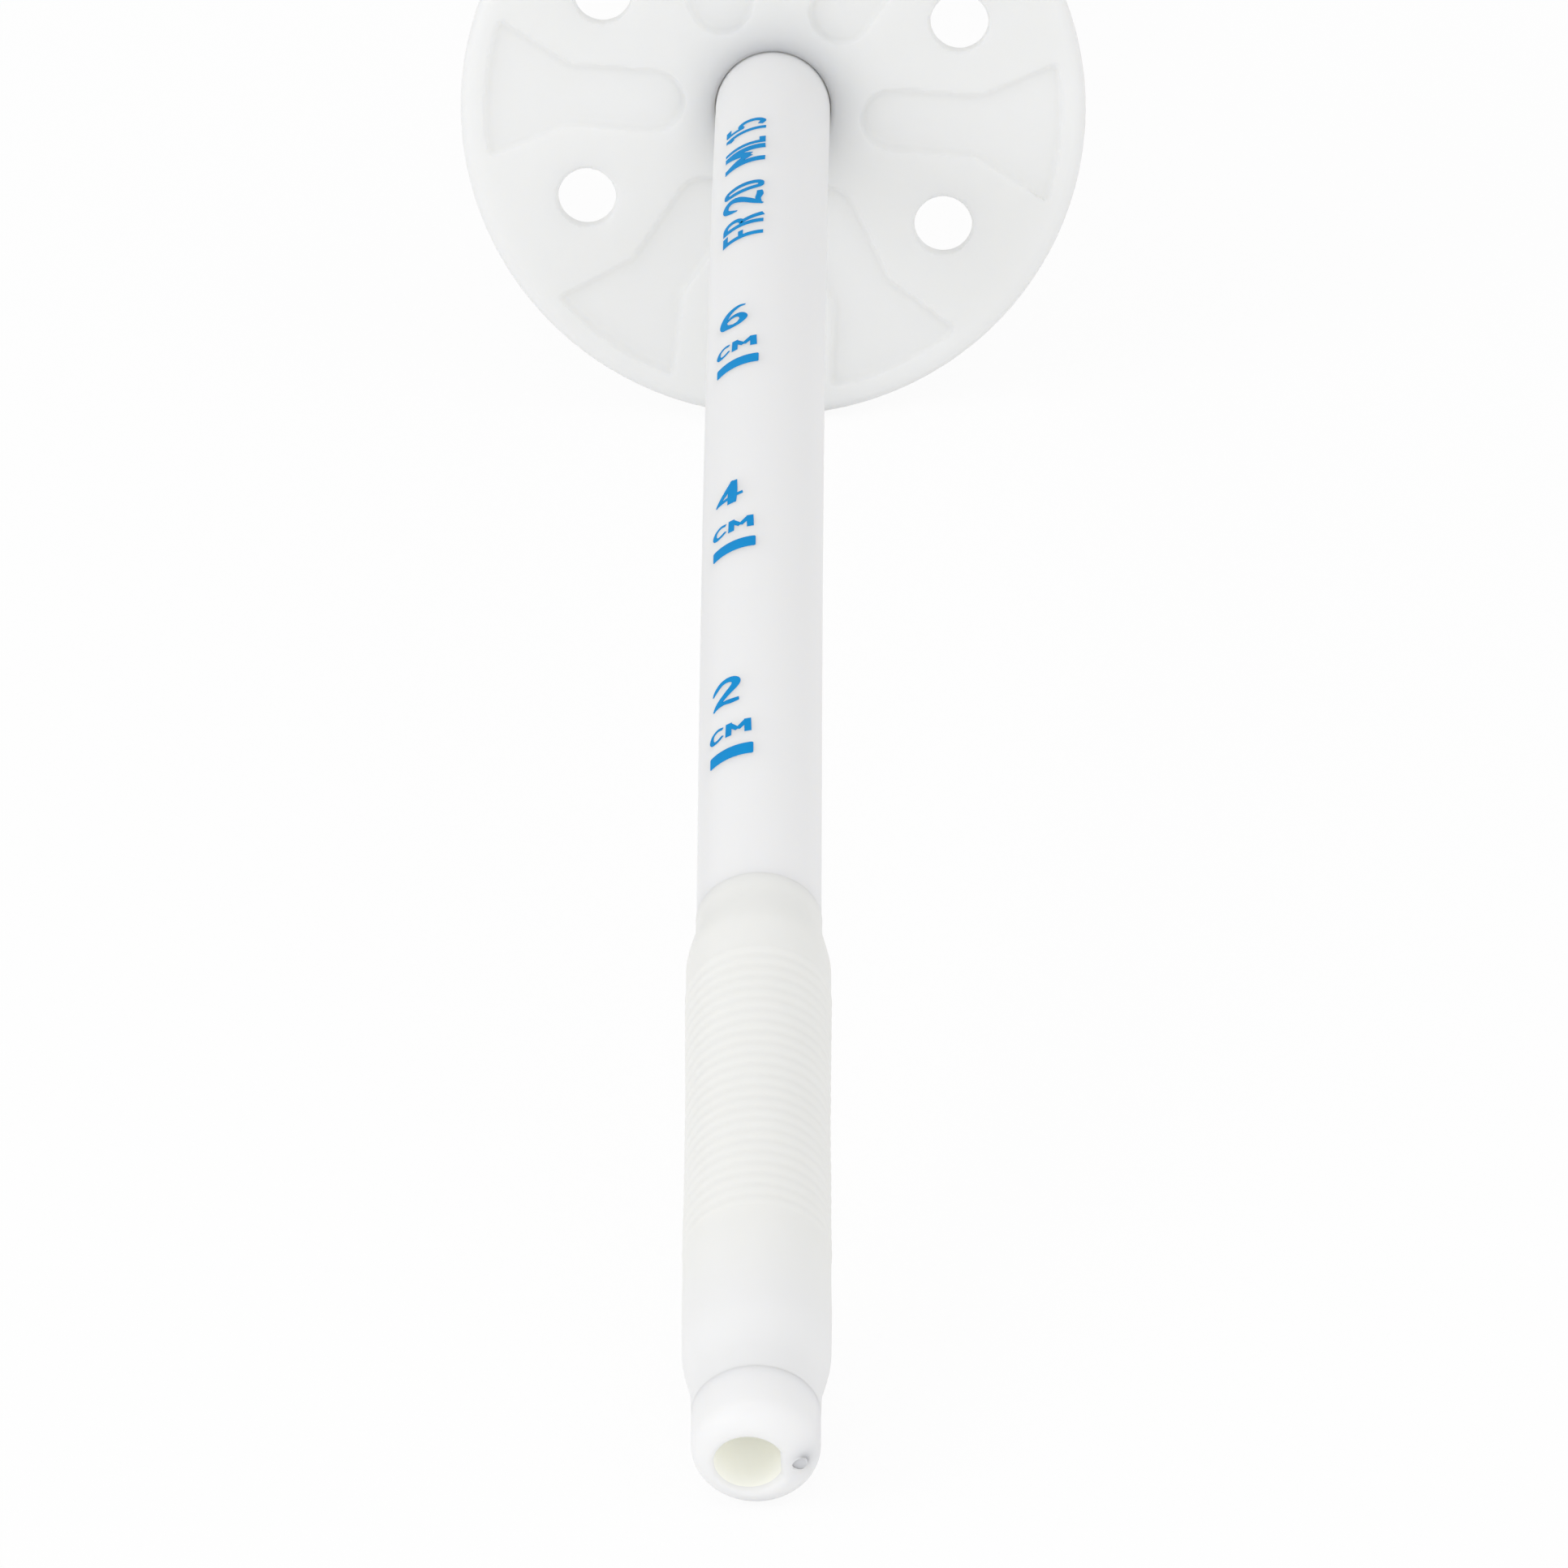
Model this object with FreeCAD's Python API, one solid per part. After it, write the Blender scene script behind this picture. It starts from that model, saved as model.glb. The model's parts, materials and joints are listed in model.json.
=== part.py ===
import FreeCAD, Part
import math
import os
from FreeCAD import Placement, Rotation, Vector

# Balloon gastrostomy feeding tube, 20 French, lying on a table. Millimetres.
# +Z is up from the table and +Y runs from the stomach end to the feeding end.
# The origin is on the table, under the middle of the part.
# A station is a distance along the tube's centre line from its tip.

# Shaft: extruded silicone with a D-shaped feeding lumen and a small inflation lumen
SHAFT_RADIUS = 6.67 / 2
TIP_ROUNDING = 1.6
LUMEN_RADIUS = 1.8
LUMEN_OFFSET = -0.36
LUMEN_FLAT = 1.27
INFLATION_RADIUS = 0.4
INFLATION_OFFSET = 2.25
INFLATION_EYE_RADIUS = 0.5
LUMEN_PLUG_LENGTH = 3.0
STRAIGHT_RUN = 44.0
ARCH_RADIUS = 300.0
TAIL_RADIUS = 80.0
SHAFT_SEAT_LENGTH = 14.0

# Balloon: thin ribbed sleeve, bonded at both ends in a shallow seat round the shaft
BALLOON_START = 4.0
BALLOON_LENGTH = 39.4
BALLOON_SEAT_DEPTH = 0.28
CUFF_STEP = 0.03
CUFF_LENGTH = 1.0
BALLOON_SWELL = 0.535
BALLOON_WAIST = 0.09
BALLOON_WALL = 0.42
SHOULDER_LENGTH = 3.6
RIDGE_COUNT = 24
RIDGE_PITCH = 0.88
RIDGE_HEIGHT = 0.07
RIDGE_END_GAP = 1.8
TAPER_STEPS = 6

# Retention disc: plate with six holes and six shallow paddles, and a gripping collar
DISC_STATION = 134.4
DISC_LEAN = 9.3
DISC_RADIUS = 18.25
DISC_THICKNESS = 1.6
DISC_EDGE_ROUNDING = 0.7
DISC_RUNNING_GAP = 0.08
DISC_FEATURES = 6
DISC_CLOCK = -6.0
HOLE_CIRCLE_RADIUS = 12.05
HOLE_RADIUS = 1.7
PADDLE_DEPTH = 0.4
PADDLE_END_STATION = 7.0
PADDLE_HALF_WIDTH = 1.8
PADDLE_NECK_STATION = 12.0
PADDLE_RIM_GAP = 1.45
PADDLE_FLARE_HALF_ANGLE = 14.0
FUNNEL_RADIUS = 3.9
FUNNEL_DEPTH = 0.4
COLLAR_RADIUS = 6.0
COLLAR_END_RADIUS = 5.4
COLLAR_LENGTH = 8.5
COLLAR_ROUNDING = 0.8

# Feeding head: three arms moulded as one round the end of the shaft
HUB_STATION = 18.0
HUB_RADIUS = 6.6
NECK_RADIUS = 4.7
WEB_THICKNESS = 3.0
WEB_REACH = 13.0
BOND_GAP = 0.01

# Feeding arm, straight on from the shaft
FEEDING_LENGTH = 32.0
FEEDING_RADIUS = 5.6
FEEDING_LIP_RADIUS = 7.0
FEEDING_BORE_RADIUS = 3.3
FEEDING_BORE_DEPTH = 16.0

# Medication arm, to the left
MEDICATION_SPREAD = 44.0
MEDICATION_LENGTH = 30.0
MEDICATION_RADIUS = 4.6
MEDICATION_LIP_RADIUS = 5.7
MEDICATION_BORE_RADIUS = 2.4
MEDICATION_BORE_DEPTH = 12.0
MEDICATION_CHANNEL_RADIUS = 1.4

# Inflation arm, to the right
INFLATION_SPREAD = 44.0
INFLATION_LENGTH = 25.0
INFLATION_ARM_RADIUS = 4.3
LIP_THICKNESS = 2.0
LIP_ROUNDING = 0.6

# Plugs: a stem in the port, a flange on the lip, and a strap back to a ring round the arm
PLUG_FIT_GAP = 0.05
PLUG_STEM_LENGTH = 7.0
PLUG_NOSE_CHAMFER = 0.8
PLUG_SEAT_GAP = 0.05
FLANGE_THICKNESS = 1.8
FLANGE_INSET = 0.5
RING_GAP = 0.12
RING_WALL = 1.15
RING_LENGTH = 3.2
PLUG_TRAVEL = 8.0
RING_STOP_GAP = 1.0
STRAP_WIDTH = 4.0
STRAP_THICKNESS = 1.3
STRAP_CLEARANCE = 2.4
STRAP_BEND_RADIUS = 2.2
TAB_LENGTH = 4.5
TAB_WIDTH = 5.0

# Inflation valve: pushed into its arm, with a sprung poppet that a syringe opens
VALVE_STEM_RADIUS = 3.0
VALVE_STEM_LENGTH = 9.0
VALVE_FLANGE_RADIUS = 4.4
VALVE_FLANGE_THICKNESS = 1.2
VALVE_HUB_RADIUS = 3.5
VALVE_HUB_LENGTH = 8.5
VALVE_LUG_REACH = 0.45
VALVE_LUG_WIDTH = 3.0
VALVE_LUG_THICKNESS = 1.0
SOCKET_RADIUS = 2.1
SOCKET_DEPTH = 5.5
SOCKET_SEAT_RADIUS = 1.7
SOCKET_SEAT_DEPTH = 1.2
THROAT_RADIUS = 1.3
THROAT_LENGTH = 1.4
CHAMBER_RADIUS = 2.45
POPPET_PIN_RADIUS = 0.75
POPPET_SINK = 0.1
POPPET_FLANGE_RADIUS = 1.85
POPPET_FLANGE_THICKNESS = 0.7
POPPET_TAIL_RADIUS = 0.9
POPPET_TAIL_LENGTH = 2.6
SEAL_RADIUS = 1.95
SEAL_THICKNESS = 0.8
SEAL_GAP = 0.02
SPRING_WIRE_RADIUS = 0.13
SPRING_COIL_RADIUS = 1.4
SPRING_TURNS = 5
SPRING_CHORDS = 18
RETAINER_THICKNESS = 1.0
RETAINER_HOLE_RADIUS = 0.45
RETAINER_HOLE_CIRCLE = 1.25
RETAINER_HOLES = 4

# A cutter starts or ends this far outside the solid that it cuts
CUT_MARGIN = 5.0

X_AXIS = Vector(1, 0, 0)
Z_AXIS = Vector(0, 0, 1)
CENTRE = Vector(0, 0, 0)


# Small modelling tools

def turned(edges):
    """A solid of revolution about Z from edges of (radius, 0, height) points."""
    return Part.Face(Part.Wire(edges)).revolve(CENTRE, Z_AXIS, 360)


def profile_point(radius, height):
    return Vector(radius, 0, height)


def straight_edges(points):
    """Straight edges through (radius, height) pairs."""
    corners = [profile_point(*point) for point in points]
    return [Part.LineSegment(a, b).toShape() for a, b in zip(corners, corners[1:])]


def turned_polygon(points):
    return turned(straight_edges(points + points[:1]))


def corner_arc(centre, radius, start, end):
    """A profile arc round (radius, height) from one angle to the other, in degrees."""
    def on_arc(angle):
        turn = math.radians(angle)
        return profile_point(centre[0] + radius * math.cos(turn), centre[1] + radius * math.sin(turn))
    return Part.Arc(on_arc(start), on_arc((start + end) / 2), on_arc(end)).toShape()


def cylinder(radius, start, end):
    """A cylinder about Z between two heights."""
    return Part.makeCylinder(radius, end - start, Vector(0, 0, start), Z_AXIS)


def rod(radius, start, end):
    """A cylinder between two points."""
    return Part.makeCylinder(radius, (end - start).Length, start, end - start)


def placed(shape, placement):
    result = shape.copy()
    result.Placement = placement.multiply(shape.Placement)
    return result


def facing(origin, along, up):
    """A placement with its Z along one direction and its Y close to the other."""
    return Placement(origin, Rotation(up.cross(along), up, along, "ZYX"))


def joined(first, *others):
    return first.fuse(list(others)).removeSplitter()


def angled_copies(shape, count, first_angle):
    """Copies of a shape spaced evenly about Z."""
    return [placed(shape, Placement(CENTRE, Rotation(Z_AXIS, first_angle + 360 / count * index)))
            for index in range(count)]


# Where the tube lies: it stands on its tip, on the disc's rim and on the head

def tip_height(slope):
    """Height of the centre line at the tip when the rounded tip touches the table."""
    flat = SHAFT_RADIUS - TIP_ROUNDING
    return flat * math.cos(slope) + TIP_ROUNDING * (1 - math.sin(slope))


def arch_centre(slope):
    """Centre of the long arch, in the plane of the tube, for a slope at the tip."""
    run_y = STRAIGHT_RUN * math.cos(slope)
    run_z = tip_height(slope) + STRAIGHT_RUN * math.sin(slope)
    return Vector(0, run_y + ARCH_RADIUS * math.sin(slope), run_z - ARCH_RADIUS * math.cos(slope))


def arch_slope(slope, station):
    """Slope of the centre line at a station on the arch, in radians."""
    return slope - (station - STRAIGHT_RUN) / ARCH_RADIUS


def rim_height(slope):
    """Height of the disc's lowest point above the table for a slope at the tip."""
    disc_slope = arch_slope(slope, DISC_STATION)
    centre_height = arch_centre(slope).z + ARCH_RADIUS * math.cos(disc_slope)
    lean = math.radians(DISC_LEAN) - disc_slope
    flat = DISC_RADIUS - DISC_EDGE_ROUNDING
    depth = DISC_THICKNESS - DISC_EDGE_ROUNDING
    return centre_height - flat * math.cos(lean) - depth * math.sin(lean) - DISC_EDGE_ROUNDING


def settled_slope():
    """Slope at the tip, in radians, that lays the disc's rim on the table."""
    low = 0.0
    high = math.radians(40)
    while high - low > 1e-9:
        middle = (low + high) / 2
        if rim_height(middle) > 0:
            high = middle
        else:
            low = middle
    return low


TIP_SLOPE = settled_slope()
HEAD_HEIGHT = FEEDING_LIP_RADIUS
ARCH_CENTRE = arch_centre(TIP_SLOPE)
TAIL_SLOPE = math.acos((HEAD_HEIGHT + TAIL_RADIUS - ARCH_CENTRE.z) / (ARCH_RADIUS + TAIL_RADIUS))
TIP = Vector(0, 0, tip_height(TIP_SLOPE))
RUN_DIRECTION = Vector(0, math.cos(TIP_SLOPE), math.sin(TIP_SLOPE))
TAIL_CENTRE_OFFSET = Vector(0, math.sin(TAIL_SLOPE), math.cos(TAIL_SLOPE)) * (ARCH_RADIUS + TAIL_RADIUS)
TAIL_CENTRE = ARCH_CENTRE + TAIL_CENTRE_OFFSET
TAIL_END = TAIL_CENTRE - Z_AXIS * TAIL_RADIUS
HEAD_DIRECTION = Vector(0, 1, 0)
RUN_FRAME = facing(TIP, RUN_DIRECTION, Vector(0, -math.sin(TIP_SLOPE), math.cos(TIP_SLOPE)))
BALLOON_END = BALLOON_START + BALLOON_LENGTH
SEAT_RADIUS = SHAFT_RADIUS - BALLOON_SEAT_DEPTH


def arch_point(station):
    """The centre line's point at a station on the arch."""
    slope = arch_slope(TIP_SLOPE, station)
    return ARCH_CENTRE + Vector(0, -math.sin(slope), math.cos(slope)) * ARCH_RADIUS


# Shaft and what closes its inflation lumen

def bent(section):
    """The arch, the tail bend and the seat in the head, from a section at the straight run's end."""
    arch_turn = -math.degrees(TIP_SLOPE + TAIL_SLOPE)
    tail_turn = math.degrees(TAIL_SLOPE)
    arch = section.revolve(ARCH_CENTRE, X_AXIS, arch_turn)
    tail_section = section.copy()
    tail_section.rotate(ARCH_CENTRE, X_AXIS, arch_turn)
    tail = tail_section.revolve(TAIL_CENTRE, X_AXIS, tail_turn)
    seat_section = tail_section.copy()
    seat_section.rotate(TAIL_CENTRE, X_AXIS, tail_turn)
    return [arch, tail, seat_section.extrude(HEAD_DIRECTION * SHAFT_SEAT_LENGTH)]


def round_face(radius, offset=0.0):
    """A round face across the tube at the end of the straight run, offset sideways to the right."""
    circle = Part.Circle(Vector(-offset, 0, STRAIGHT_RUN), Z_AXIS, radius)
    return placed(Part.Face(Part.Wire(circle.toShape())), RUN_FRAME)


def lumen_face():
    """The feeding lumen's D-shaped section, with its flat to the right."""
    half_flat = math.sqrt(LUMEN_RADIUS ** 2 - (LUMEN_FLAT - LUMEN_OFFSET) ** 2)
    top = Vector(-LUMEN_FLAT, half_flat, STRAIGHT_RUN)
    bottom = Vector(-LUMEN_FLAT, -half_flat, STRAIGHT_RUN)
    far_side = Vector(LUMEN_RADIUS - LUMEN_OFFSET, 0, STRAIGHT_RUN)
    edges = [Part.Arc(top, far_side, bottom).toShape(), Part.LineSegment(bottom, top).toShape()]
    return placed(Part.Face(Part.Wire(edges)), RUN_FRAME)


def full_length(section, start_station):
    """A section carried along the whole tube, from a station on the straight run."""
    run = section.extrude(RUN_DIRECTION * (start_station - STRAIGHT_RUN))
    return joined(run, *bent(section))


def straight_body():
    """The shaft's straight run with its rounded tip and the shallow seat under the balloon."""
    flat = SHAFT_RADIUS - TIP_ROUNDING
    edges = straight_edges([(0, STRAIGHT_RUN), (0, 0), (flat, 0)])
    edges.append(corner_arc((flat, TIP_ROUNDING), TIP_ROUNDING, -90, 0))
    edges += straight_edges([
        (SHAFT_RADIUS, TIP_ROUNDING), (SHAFT_RADIUS, BALLOON_START), (SEAT_RADIUS, BALLOON_START),
        (SEAT_RADIUS, BALLOON_END), (SHAFT_RADIUS, BALLOON_END), (SHAFT_RADIUS, STRAIGHT_RUN),
        (0, STRAIGHT_RUN)])
    return placed(turned(edges), RUN_FRAME)


def inflation_eye():
    """The side hole that lets water from the inflation lumen into the balloon."""
    middle = (BALLOON_START + BALLOON_END) / 2
    eye = Part.makeCylinder(INFLATION_EYE_RADIUS, SHAFT_RADIUS, Vector(-INFLATION_OFFSET, 0, middle), -X_AXIS)
    return placed(eye, RUN_FRAME)


def shaft():
    body = joined(straight_body(), *bent(round_face(SHAFT_RADIUS)))
    feeding = full_length(lumen_face(), -CUT_MARGIN)
    inflation = full_length(round_face(INFLATION_RADIUS, INFLATION_OFFSET), -CUT_MARGIN)
    return body.cut([feeding, inflation, inflation_eye()])


def lumen_plug():
    """Fills the inflation lumen at the tip, flush with the tip's rounding."""
    face_radius = SHAFT_RADIUS - TIP_ROUNDING
    reach = INFLATION_OFFSET + INFLATION_RADIUS - face_radius
    start = TIP_ROUNDING - math.sqrt(TIP_ROUNDING ** 2 - reach ** 2)
    plug = Part.makeCylinder(INFLATION_RADIUS, LUMEN_PLUG_LENGTH, Vector(-INFLATION_OFFSET, 0, start), Z_AXIS)
    return placed(plug, RUN_FRAME)


# Balloon

def eased_points(start, end):
    """Points of a smooth S between two (radius, station) pairs."""
    points = []
    for step in range(TAPER_STEPS + 1):
        share = step / TAPER_STEPS
        blend = (1 - math.cos(math.pi * share)) / 2
        points.append((start[0] + (end[0] - start[0]) * blend, start[1] + (end[1] - start[1]) * share))
    return points


def balloon():
    cuff = SHAFT_RADIUS + CUFF_STEP
    full = SHAFT_RADIUS + BALLOON_SWELL
    waist = full - BALLOON_WAIST
    distal = BALLOON_START + CUFF_LENGTH
    proximal = BALLOON_END - CUFF_LENGTH
    ridges_end = proximal - SHOULDER_LENGTH - RIDGE_END_GAP
    ridges_start = ridges_end - RIDGE_COUNT * RIDGE_PITCH
    outer = [(cuff, BALLOON_START)] + eased_points((cuff, distal), (full, distal + SHOULDER_LENGTH))
    for index in range(RIDGE_COUNT):
        station = ridges_start + index * RIDGE_PITCH
        share = abs(2 * index / RIDGE_COUNT - 1)
        base = waist + (full - waist) * share ** 2
        outer.append((base, station))
        outer.append((base + RIDGE_HEIGHT, station + RIDGE_PITCH / 2))
    outer.append((full, ridges_end))
    outer += eased_points((full, proximal - SHOULDER_LENGTH), (cuff, proximal)) + [(cuff, BALLOON_END)]
    inner_full = waist - BALLOON_WALL
    inner = [(SEAT_RADIUS, BALLOON_END)]
    inner += eased_points((SEAT_RADIUS, proximal), (inner_full, proximal - SHOULDER_LENGTH))
    inner += eased_points((inner_full, distal + SHOULDER_LENGTH), (SEAT_RADIUS, distal))
    inner.append((SEAT_RADIUS, BALLOON_START))
    return placed(turned_polygon(outer + inner), RUN_FRAME)


# Retention disc: the plate's frame is at its skin face, and the collar's at the middle of its grip

def disc_frame(station, lean):
    """A frame on the arch with Z towards the tip, leaning back by an angle in degrees."""
    angle = math.radians(lean) - arch_slope(TIP_SLOPE, station)
    along = Vector(0, -math.cos(angle), math.sin(angle))
    up = Vector(0, math.sin(angle), math.cos(angle))
    return facing(arch_point(station), along, up)


PLATE_FRAME = disc_frame(DISC_STATION, DISC_LEAN)
COLLAR_FRAME = disc_frame(DISC_STATION + COLLAR_LENGTH / 2, 0)
COLLAR_FRONT = COLLAR_LENGTH / 2
COLLAR_END = -COLLAR_LENGTH / 2


def plate():
    flat = DISC_RADIUS - DISC_EDGE_ROUNDING
    back = -DISC_THICKNESS
    edges = straight_edges([(0, back), (0, 0), (flat, 0)])
    edges.append(corner_arc((flat, -DISC_EDGE_ROUNDING), DISC_EDGE_ROUNDING, 90, 0))
    edges += straight_edges([(DISC_RADIUS, -DISC_EDGE_ROUNDING), (DISC_RADIUS, back + DISC_EDGE_ROUNDING)])
    edges.append(corner_arc((flat, back + DISC_EDGE_ROUNDING), DISC_EDGE_ROUNDING, 0, -90))
    edges += straight_edges([(flat, back), (0, back)])
    return turned(edges)


def paddle():
    """One recess of the skin face: a round end, a straight neck and a flare out to the rim."""
    reach = DISC_RADIUS - PADDLE_RIM_GAP
    flare = math.radians(PADDLE_FLARE_HALF_ANGLE)
    corner = Vector(reach * math.cos(flare), reach * math.sin(flare), 0)
    neck = Vector(PADDLE_NECK_STATION, PADDLE_HALF_WIDTH, 0)
    shoulder = Vector(PADDLE_END_STATION, PADDLE_HALF_WIDTH, 0)
    nose = Vector(PADDLE_END_STATION - PADDLE_HALF_WIDTH, 0, 0)

    def mirrored(point):
        return Vector(point.x, -point.y, 0)

    edges = [
        Part.Arc(mirrored(shoulder), nose, shoulder).toShape(),
        Part.LineSegment(shoulder, neck).toShape(),
        Part.LineSegment(neck, corner).toShape(),
        Part.Arc(corner, Vector(reach, 0, 0), mirrored(corner)).toShape(),
        Part.LineSegment(mirrored(corner), mirrored(neck)).toShape(),
        Part.LineSegment(mirrored(neck), mirrored(shoulder)).toShape()]
    pocket = Part.Face(Part.Wire(edges)).extrude(Z_AXIS * (PADDLE_DEPTH + CUT_MARGIN))
    pocket.translate(Z_AXIS * -PADDLE_DEPTH)
    return pocket


def collar():
    """The collar as far as the middle of the leaning plate."""
    rounding = (COLLAR_END_RADIUS - COLLAR_ROUNDING, COLLAR_END + COLLAR_ROUNDING)
    edges = straight_edges([
        (0, COLLAR_END), (0, COLLAR_FRONT), (COLLAR_RADIUS, COLLAR_FRONT), (COLLAR_END_RADIUS, rounding[1])])
    edges.append(corner_arc(rounding, COLLAR_ROUNDING, 0, -90))
    edges += straight_edges([(rounding[0], COLLAR_END), (0, COLLAR_END)])
    in_front = cylinder(2 * COLLAR_RADIUS, -DISC_THICKNESS / 2, COLLAR_LENGTH)
    return placed(turned(edges), COLLAR_FRAME).cut(placed(in_front, PLATE_FRAME))


def retention_disc():
    bore = SHAFT_RADIUS + DISC_RUNNING_GAP
    spacing = 360 / DISC_FEATURES
    hole = Part.makeCylinder(HOLE_RADIUS, DISC_THICKNESS + 2 * CUT_MARGIN,
                             Vector(HOLE_CIRCLE_RADIUS, 0, -DISC_THICKNESS - CUT_MARGIN), Z_AXIS)
    cuts = angled_copies(paddle(), DISC_FEATURES, DISC_CLOCK)
    cuts += angled_copies(hole, DISC_FEATURES, DISC_CLOCK + spacing / 2)
    body = joined(placed(plate().cut(cuts), PLATE_FRAME), collar())
    passage = cylinder(bore, COLLAR_END - CUT_MARGIN, COLLAR_FRONT + CUT_MARGIN)
    widening = (FUNNEL_RADIUS - bore) / FUNNEL_DEPTH
    funnel = turned_polygon([
        (0, -2 * FUNNEL_DEPTH), (2 * bore - FUNNEL_RADIUS, -2 * FUNNEL_DEPTH),
        (FUNNEL_RADIUS + widening * CUT_MARGIN, CUT_MARGIN), (0, CUT_MARGIN)])
    return body.cut([placed(passage, COLLAR_FRAME), placed(funnel, PLATE_FRAME)])


# Feeding head: each arm leaves the hub level or drooping, until its end lies on the table

HUB = TAIL_END + HEAD_DIRECTION * HUB_STATION


def arm_frame(spread, length, end_radius):
    """Z runs out along the arm from the hub. The spread is in degrees, and positive to the right."""
    hub_angle = math.asin(HEAD_HEIGHT / math.hypot(length, end_radius))
    droop = hub_angle - math.atan2(end_radius, length)
    turn = math.radians(spread)
    level = Vector(math.sin(turn), math.cos(turn), 0)
    along = level * math.cos(droop) - Z_AXIS * math.sin(droop)
    up = level * math.sin(droop) + Z_AXIS * math.cos(droop)
    return facing(HUB, along, up)


FEEDING_FRAME = arm_frame(0, FEEDING_LENGTH, FEEDING_LIP_RADIUS)
MEDICATION_FRAME = arm_frame(-MEDICATION_SPREAD, MEDICATION_LENGTH, MEDICATION_LIP_RADIUS)
VALVE_END = INFLATION_LENGTH + VALVE_HUB_LENGTH
VALVE_FRAME = arm_frame(INFLATION_SPREAD, VALVE_END, VALVE_HUB_RADIUS + VALVE_LUG_REACH)


def lipped_arm(radius, lip_radius, length):
    """An arm from the hub with a rounded lip at its mouth."""
    lip_start = length - LIP_THICKNESS
    flat = lip_radius - LIP_ROUNDING
    edges = straight_edges([(0, length), (0, 0), (radius, 0), (radius, lip_start), (flat, lip_start)])
    edges.append(corner_arc((flat, lip_start + LIP_ROUNDING), LIP_ROUNDING, -90, 0))
    edges += straight_edges([(lip_radius, lip_start + LIP_ROUNDING), (lip_radius, length), (0, length)])
    return turned(edges)


def web():
    """The flat gusset that joins the three arms."""
    arms = [MEDICATION_FRAME, FEEDING_FRAME, VALVE_FRAME]
    ends = [frame.multVec(Z_AXIS * WEB_REACH) for frame in arms]
    corners = [TAIL_END] + ends
    flat = [Vector(corner.x, corner.y, HEAD_HEIGHT - WEB_THICKNESS / 2) for corner in corners]
    return Part.Face(Part.makePolygon(flat + flat[:1])).extrude(Z_AXIS * WEB_THICKNESS)


def head_body():
    neck = Part.makeCone(NECK_RADIUS, HUB_RADIUS, HUB_STATION, TAIL_END, HEAD_DIRECTION)
    hub = Part.makeSphere(HUB_RADIUS, HUB)
    arms = [
        placed(lipped_arm(FEEDING_RADIUS, FEEDING_LIP_RADIUS, FEEDING_LENGTH), FEEDING_FRAME),
        placed(lipped_arm(MEDICATION_RADIUS, MEDICATION_LIP_RADIUS, MEDICATION_LENGTH), MEDICATION_FRAME),
        placed(cylinder(INFLATION_ARM_RADIUS, 0, INFLATION_LENGTH), VALVE_FRAME)]
    return joined(neck, hub, web(), *arms)


def feeding_head():
    shaft_end = TAIL_END + HEAD_DIRECTION * SHAFT_SEAT_LENGTH
    seat = rod(SHAFT_RADIUS + BOND_GAP, TAIL_END - HEAD_DIRECTION * CUT_MARGIN, shaft_end)
    lumen_end = shaft_end + X_AXIS * LUMEN_OFFSET
    feeding_floor = FEEDING_FRAME.multVec(Z_AXIS * (FEEDING_LENGTH - FEEDING_BORE_DEPTH))
    feeding_channel = rod(LUMEN_RADIUS, lumen_end, feeding_floor + X_AXIS * LUMEN_OFFSET)
    feeding_bore = placed(cylinder(FEEDING_BORE_RADIUS, FEEDING_LENGTH - FEEDING_BORE_DEPTH,
                                   FEEDING_LENGTH + CUT_MARGIN), FEEDING_FRAME)
    medication_bore = placed(cylinder(MEDICATION_BORE_RADIUS, MEDICATION_LENGTH - MEDICATION_BORE_DEPTH,
                                      MEDICATION_LENGTH + CUT_MARGIN), MEDICATION_FRAME)
    medication_channel = placed(cylinder(MEDICATION_CHANNEL_RADIUS, 0, MEDICATION_LENGTH), MEDICATION_FRAME)
    valve_floor = INFLATION_LENGTH - VALVE_STEM_LENGTH
    valve_seat = placed(cylinder(VALVE_STEM_RADIUS + BOND_GAP, valve_floor,
                                 INFLATION_LENGTH + CUT_MARGIN), VALVE_FRAME)
    inflation_end = shaft_end + X_AXIS * INFLATION_OFFSET
    inflation_channel = rod(INFLATION_RADIUS, inflation_end, VALVE_FRAME.multVec(Z_AXIS * valve_floor))
    return head_body().cut([seat, feeding_channel, feeding_bore, medication_bore, medication_channel,
                            valve_seat, inflation_channel])


# Plugs: each is one moulding of stem, flange, tab, strap and ring

def strap(start, end, start_foot, end_foot, height):
    """A band in an arch, from the ring at one station and height to the flange at the other."""
    half = STRAP_THICKNESS / 2
    bend = STRAP_BEND_RADIUS

    def side(offset):
        """The arch's edges at an offset outside its middle line."""
        radius = bend + offset
        turn = radius * math.sin(math.radians(45))
        level = height - bend
        first = start + bend
        last = end - bend
        leg_start = Vector(0, level, start - offset)
        top_start = Vector(0, level + radius, first)
        top_end = Vector(0, level + radius, last)
        leg_end = Vector(0, level, end + offset)
        return [
            Part.LineSegment(Vector(0, start_foot, start - offset), leg_start).toShape(),
            Part.Arc(leg_start, Vector(0, level + turn, first - turn), top_start).toShape(),
            Part.LineSegment(top_start, top_end).toShape(),
            Part.Arc(top_end, Vector(0, level + turn, last + turn), leg_end).toShape(),
            Part.LineSegment(leg_end, Vector(0, end_foot, end + offset)).toShape()]

    feet = [Part.LineSegment(Vector(0, foot, station - half), Vector(0, foot, station + half)).toShape()
            for station, foot in ((start, start_foot), (end, end_foot))]
    outline = Part.Wire(Part.__sortEdges__(side(half) + side(-half) + feet))
    band = Part.Face(outline).extrude(X_AXIS * STRAP_WIDTH)
    band.translate(X_AXIS * (-STRAP_WIDTH / 2))
    return band


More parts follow.
